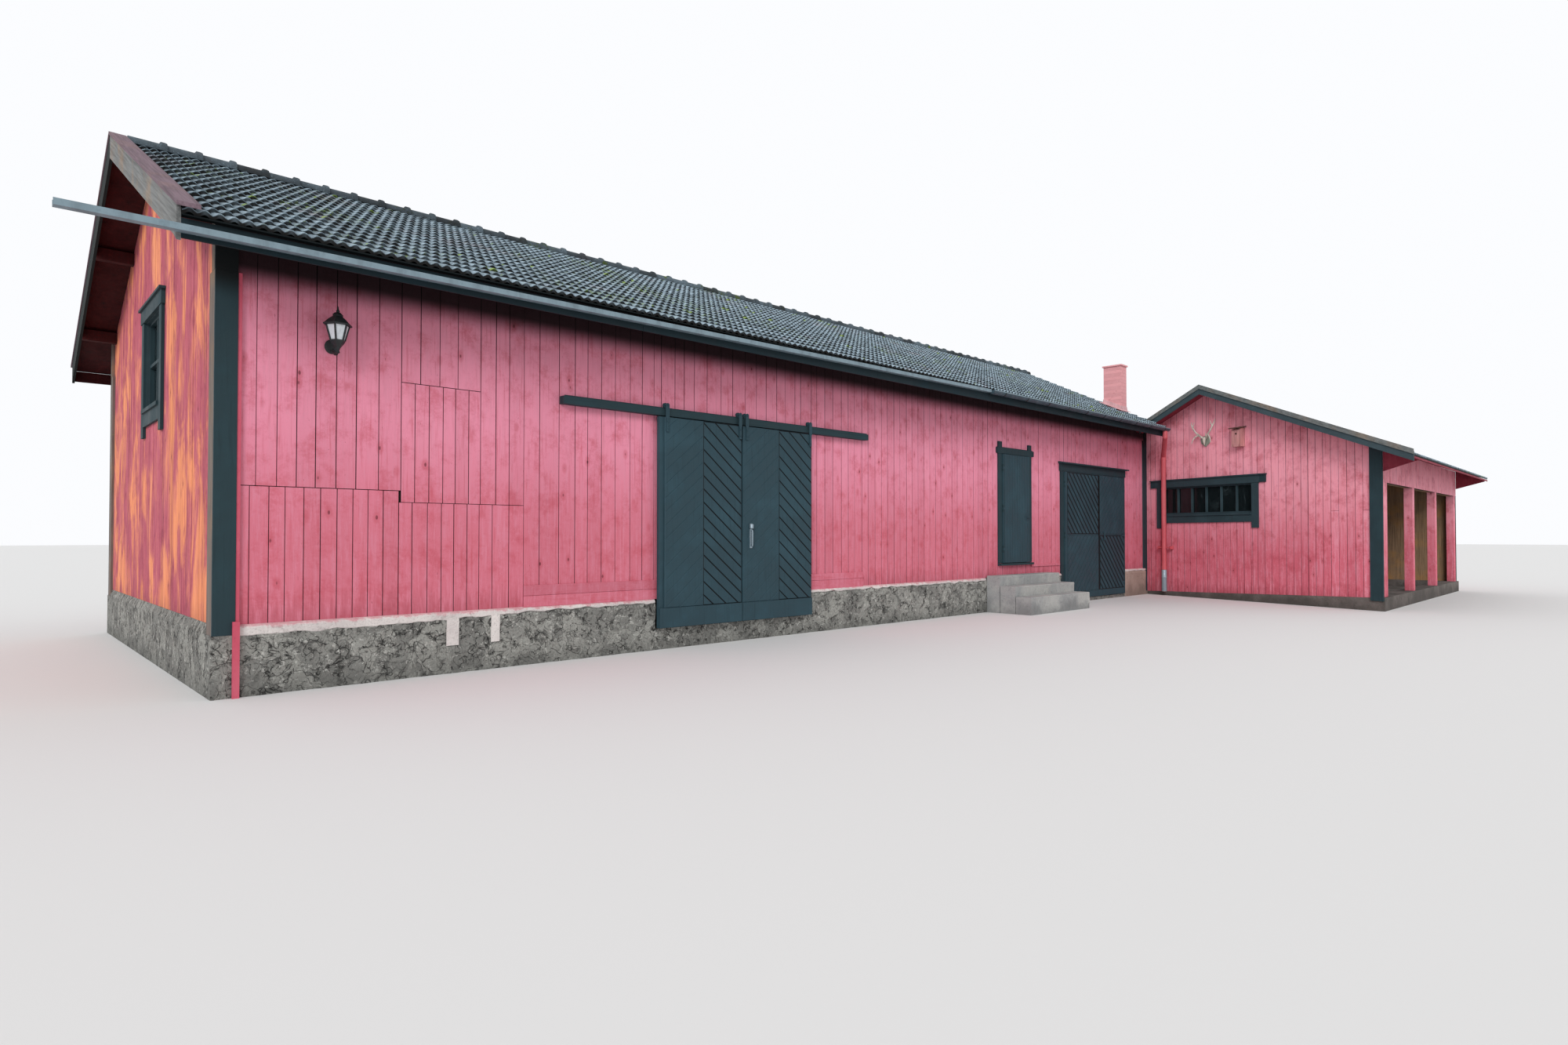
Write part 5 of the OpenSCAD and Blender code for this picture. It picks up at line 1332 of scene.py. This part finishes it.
class BARN_OT_lantern(bpy.types.Operator):
    """The six-sided wall lantern"""
    bl_idname = "barn.lantern"
    bl_label = "Wall lantern"

    def execute(self, context):
        x, z = 0.85, 3.02
        c = Vector((x, -0.185, z))
        metal, glass = Shape(), Shape()
        bowl = [(0.012, -0.085), (0.020, -0.075), (0.014, -0.06), (0.024, -0.035), (0.05, 0.0),
                (0.062, 0.018), (0.062, 0.030), (0.054, 0.031)]
        roof = [(0.094, 0.156), (0.118, 0.158), (0.120, 0.168), (0.112, 0.172), (0.070, 0.215),
                (0.042, 0.238), (0.040, 0.246), (0.046, 0.250), (0.030, 0.266), (0.012, 0.276)]
        finial = [(0.010, 0.27), (0.016, 0.285), (0.008, 0.298), (0.006, 0.315), (0.002, 0.33)]
        for profile, sides in ((bowl, 6), (roof, 6), (finial, 16)):
            metal.turned(c, profile, sides)
        for k in range(6):
            u = Vector((math.cos(math.tau * k / 6), math.sin(math.tau * k / 6), 0))
            metal.strand([c + u * 0.058 + Vector((0, 0, 0.028)), c + u * 0.093 + Vector((0, 0, 0.160))],
                         [0.008, 0.008], 6)
        arm = ((0, -0.070, 0.011), (0.03, -0.088, 0.012), (0.07, -0.082, 0.012), (0.11, -0.058, 0.012),
               (0.15, -0.042, 0.011), (0.178, -0.04, 0.010))
        metal.strand([c + Vector((0, y, up)) for y, up, r in arm], [r for y, up, r in arm], 10)
        curl = [c + Vector((0, 0.105 + u, -0.022 + v)) for u, v in arc(0.026, -120, 300, 12)]
        metal.strand(curl, [0.006] * len(curl), 8)
        plate = [(0.052, 0.0), (0.055, 0.003), (0.055, 0.009), (0.040, 0.014), (0.024, 0.016)]
        metal.loft(*[[on_front(x + u, out + 0.0005, z + v * 1.15) for u, v in arc(r, 0, 360, 32)[:-1]]
                     for r, out in plate])
        metal.piece("lantern_frame", "dark iron", "dark_metal", replaces=["wall_lantern"])
        glass.turned(c, [(0.055, 0.031), (0.0895, 0.156)], 6)
        glass.piece("lantern_panes", "milk glass", "panes")
        return {"FINISHED"}


class BARN_OT_nest_box(bpy.types.Operator):
    """The nest box on the wing's gable, with its entry hole and slanting lid"""
    bl_idname = "barn.nest_box"
    bl_label = "Nest box"

    def execute(self, context):
        s0, z0, width, depth, height, thick = 2.39, 3.17, 0.19, 0.15, 0.38, 0.018
        inner, face, floor, ceiling = width / 2 - thick, depth - thick, 0.002, height - 0.034

        def at(s, out, z):
            return on_wing(s0 + s, out, z0 + z)

        box, lid = Shape(), Shape()
        for a, b in ((-width / 2, -inner), (inner, width / 2)):
            box.prism(at, [(0, floor), (depth, floor), (depth, height - 0.014), (0, height + 0.016)], a, b,
                      -0.1)
        for z in (floor, ceiling):
            box.loft(*[[at(s, out, level) for s, out in ((-inner, 0), (inner, 0), (inner, face),
                                                         (-inner, face))] for level in (z, z + 0.016)],
                     tone=-0.2)
        hole, radius, side = height * 0.7, 0.021, []
        for u, v in arc(1.0, 0, 360, 32)[:-1]:
            up = ceiling - hole if v > 0 else hole
            side.append((u, v, min(inner / max(abs(u), 1e-6), up / max(abs(v), 1e-6))))
        # The entry hole's inner wall darkens inwards: painted shade inside the hole.
        rings = [(face, None), (depth, None), (depth, radius), (face, radius), (face, None)]
        box.loft(*[[at(u * (r or reach), out, hole + v * (r or reach)) for u, v, reach in side]
                   for out, r in rings], tone=[0.0, 0.1, 0.1, -0.9, 0.0], caps=False)
        box.piece("nest_box_boards", "nest wood", "red_boards", replaces=["nest_box"])
        half, board = 0.13, 0.0867
        for i in range(3):
            lid.prism(at, [(depth + 0.05, height - 0.012), (0.0, height + 0.018), (0.0, height + 0.042),
                           (depth + 0.05, height + 0.012)],
                      -half + i * board, -half + (i + 1) * board - 0.0015, -0.1 + 0.1 * i)
        lid.piece("nest_box_lid", "nest roof", "weathered_boards")
        return {"FINISHED"}


class BARN_OT_antlers(bpy.types.Operator):
    """Antlers on a board shield, on the wing's gable"""
    bl_idname = "barn.antlers"
    bl_label = "Antler trophy"

    def execute(self, context):
        s0, z0 = 1.585, 3.25

        def at(s, out, z):
            return on_wing(s0 + s, out, z0 + z)

        shield, bone = Shape(), Shape()
        middle, stout = 0.12, 1.4
        rim = [(-0.100, 0.235), (-0.06, 0.222), (0.0, 0.236), (0.06, 0.222), (0.100, 0.235), (0.115, 0.15),
               (0.092, 0.07), (0.0, 0.0), (-0.092, 0.07), (-0.115, 0.15)]
        shield.loft(*[[at(s * k, out, middle + (z - middle) * k) for s, z in rim]
                      for out, k in ((0.0, 1.0), (0.020, 1.0), (0.028, 0.92))])
        shield.piece("trophy_shield", "shield", "antler", replaces=["antler_trophy"])
        # Each beam or point: along the wall, out from it, up, and its radius
        beams = (((0.018, 0.045, 0.17, 0.016), (0.06, 0.06, 0.205, 0.015), (0.11, 0.09, 0.25, 0.014),
                  (0.18, 0.105, 0.33, 0.012), (0.24, 0.11, 0.42, 0.011), (0.275, 0.10, 0.50, 0.008),
                  (0.285, 0.08, 0.56, 0.003)),
                 ((0.11, 0.09, 0.25, 0.012), (0.165, 0.13, 0.22, 0.010), (0.21, 0.15, 0.15, 0.008),
                  (0.235, 0.16, 0.07, 0.003)),
                 ((0.24, 0.11, 0.42, 0.010), (0.21, 0.118, 0.48, 0.007), (0.19, 0.12, 0.54, 0.003)),
                 ((0.06, 0.06, 0.205, 0.010), (0.07, 0.10, 0.24, 0.007), (0.085, 0.13, 0.29, 0.003)))
        for side in (-1, 1):
            for beam in beams:
                bone.strand([at(side * s, out, z) for s, out, z, r in beam],
                            [r * stout for s, out, z, r in beam], 10)
        skull = ((0.030, 0.195, 0.020), (0.050, 0.180, 0.038), (0.062, 0.140, 0.036),
                 (0.060, 0.100, 0.026), (0.050, 0.050, 0.017), (0.040, 0.035, 0.006))
        bone.strand([at(0.0, out, z) for out, z, r in skull], [r for out, z, r in skull], 14)
        bone.piece("antlers", "bone", "antler", smooth=True)
        return {"FINISHED"}


class BARN_OT_chimney_trim(bpy.types.Operator):
    """Flashing round the chimney's foot"""
    bl_idname = "barn.chimney_trim"
    bl_label = "Chimney flashing"

    def execute(self, context):
        low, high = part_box("chimney")
        cap = 0.025
        skirt, loops = Shape(), []
        for grow, lift in ((0.075, 0.004), (0.070, 0.012), (0.016, 0.022), (0.007, 0.10), (0.003, 0.105)):
            x0, x1 = low.x + cap - grow, high.x - cap + grow
            y0, y1 = low.y + cap - grow, high.y - cap + grow
            loops.append([Vector((x, y, roof_top(y) + lift)) for x, y in
                          ((x0, y0), (x1, y0), (x1, y1), (x0, y1))])
        skirt.loft(*loops)
        skirt.piece("chimney_flashing", "lead", "galvanised")
        return {"FINISHED"}


NODE_FINISH = {
    "back_plinth": "stone", "wing_plinth": "low stone", "floor_slabs": "slab",
    "raised_floor": "floor wood", "barge_boards": "barge wood", "verge_planks": "verge wood",
    "gable_purlins": "eave red", "box_gutter": "gutter zinc", "round_gutter": "round gutter",
    "downpipe": "red pipe", "chimney": "brick", "corner_boards": "corner trim",
    "gable_corner_boards": "bare", "sliding_track": "trim level", "left_sliding_door": "door",
    "right_sliding_door": "door", "entrance_casing": "trim", "entrance_door": "door",
    "double_door_casing": "trim", "double_door_left": "door", "double_door_right": "door",
    "gable_window": "trim", "wing_window": "sash", "window_glass": "pane",
    "wing_barge_boards": "wing barge", "wing_verge_boards": "wing verge wood",
    "wing_eave_ends": "wing eave red", "cable_guard": "cable red",
}


class BARN_OT_finishes(bpy.types.Operator):
    """Finishes of the boards, casings and metal that keep their plain solids"""
    bl_idname = "barn.finishes"
    bl_label = "Finishes"

    def execute(self, context):
        for node, finish in NODE_FINISH.items():
            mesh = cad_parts[node].data
            mesh.materials.clear()
            mesh.materials.append(FINISH[finish])
        return {"FINISHED"}


class BARN_OT_materials(bpy.types.Operator):
    """Makes the materials"""
    bl_idname = "barn.materials"
    bl_label = "Materials"

    def execute(self, context):
        FINISH.update(make_finishes(context.scene.barn_colours))
        return {"FINISHED"}


class BARN_OT_stage(bpy.types.Operator):
    """Pale floor, soft light and the camera"""
    bl_idname = "barn.stage"
    bl_label = "Stage"

    def execute(self, context):
        scene = context.scene
        mesh = bpy.data.meshes.new("floor")
        mesh.from_pydata([(-150, -150, 0), (170, -150, 0), (170, 150, 0), (-150, 150, 0)], [],
                         [(0, 1, 2, 3)])
        floor = bpy.data.objects.new("floor", mesh)
        scene.collection.objects.link(floor)
        pale = bpy.data.materials.new("pale_floor")
        pale.use_nodes = True
        shader = pale.node_tree.nodes["Principled BSDF"]
        shader.inputs["Base Color"].default_value = (0.74, 0.74, 0.74, 1)
        shader.inputs["Roughness"].default_value = 0.9
        mesh.materials.append(pale)
        world = bpy.data.worlds.new("soft_light")
        scene.world = world
        world.use_nodes = True
        tree = world.node_tree
        light = tree.nodes["Background"]
        put(tree, light.inputs["Color"], (1, 1, 1))
        put(tree, light.inputs["Strength"], 0.80)
        seen = add_node(tree, "Background", (("Color", (0.97, 0.98, 1.0)), ("Strength", 1.0)))
        path = add_node(tree, "LightPath").outputs
        direct = path["Is Camera Ray"]
        for ray in ("Is Glossy Ray", "Is Transmission Ray"):
            direct = add_node(tree, "Math", ((0, direct), (1, path[ray])),
                              operation="MAXIMUM").outputs[0]
        mix = add_node(tree, "MixShader", ((0, direct), (1, light.outputs[0]), (2, seen.outputs[0])))
        put(tree, tree.nodes["World Output"].inputs["Surface"], mix.outputs[0])
        lamp = bpy.data.lights.new("soft_sun", "SUN")
        lamp.energy = 1.6
        lamp.angle = math.radians(24)
        sun = bpy.data.objects.new("soft_sun", lamp)
        sun.rotation_euler = Vector((0.8, 0.58, -0.5)).to_track_quat("-Z", "Y").to_euler()
        scene.collection.objects.link(sun)
        # The camera as fitted to the photo: its turn, tilt, place, focal length and width in pixels
        yaw, pitch, place, focal, pixels = 0.7711, 0.0158, (-1.4918, -8.2, 1.3378), 1079.24, 2000
        right = Vector((math.cos(yaw), -math.sin(yaw), 0))
        ahead = Vector((math.sin(yaw) * math.cos(pitch), math.cos(yaw) * math.cos(pitch), math.sin(pitch)))
        turn = Matrix((right, right.cross(ahead), -ahead)).transposed().to_4x4()
        camera = bpy.data.objects.new("photo_angle", bpy.data.cameras.new("photo_angle"))
        camera.matrix_world = Matrix.Translation(place) @ turn
        camera.data.sensor_width = 36
        camera.data.lens = focal / pixels * 36
        camera.data.clip_end = 500
        scene.collection.objects.link(camera)
        scene.camera = camera
        scene.view_settings.view_transform = "Standard"
        return {"FINISHED"}


class BARN_PT_panel(bpy.types.Panel):
    bl_label = "Red timber barn"
    bl_idname = "BARN_PT_panel"
    bl_space_type = "VIEW_3D"
    bl_region_type = "UI"
    bl_category = "Barn"

    def draw(self, context):
        for group in (context.scene.barn_sizes, context.scene.barn_colours):
            column = self.layout.column(align=True)
            for name in group.__annotations__:
                column.prop(group, name)
        for step in STEPS:
            self.layout.operator(step.bl_idname)


STEPS = (BARN_OT_materials, BARN_OT_finishes, BARN_OT_front_boards, BARN_OT_side_boards,
         BARN_OT_wing_boards, BARN_OT_casings, BARN_OT_roofs, BARN_OT_sliding_doors,
         BARN_OT_hinged_doors, BARN_OT_stonework, BARN_OT_gutter_fittings, BARN_OT_lantern,
         BARN_OT_nest_box, BARN_OT_antlers, BARN_OT_chimney_trim, BARN_OT_stage)
CLASSES = (BarnSizes, BarnColours, *STEPS, BARN_PT_panel)


def register():
    for cls in CLASSES:
        bpy.utils.register_class(cls)
    bpy.types.Scene.barn_sizes = PointerProperty(type=BarnSizes)
    bpy.types.Scene.barn_colours = PointerProperty(type=BarnColours)


def unregister():
    del bpy.types.Scene.barn_colours
    del bpy.types.Scene.barn_sizes
    for cls in reversed(CLASSES):
        bpy.utils.unregister_class(cls)


def main():
    register()
    for step in STEPS:
        group, name = step.bl_idname.split(".")
        getattr(getattr(bpy.ops, group), name)()


if __name__ == "__main__":
    main()
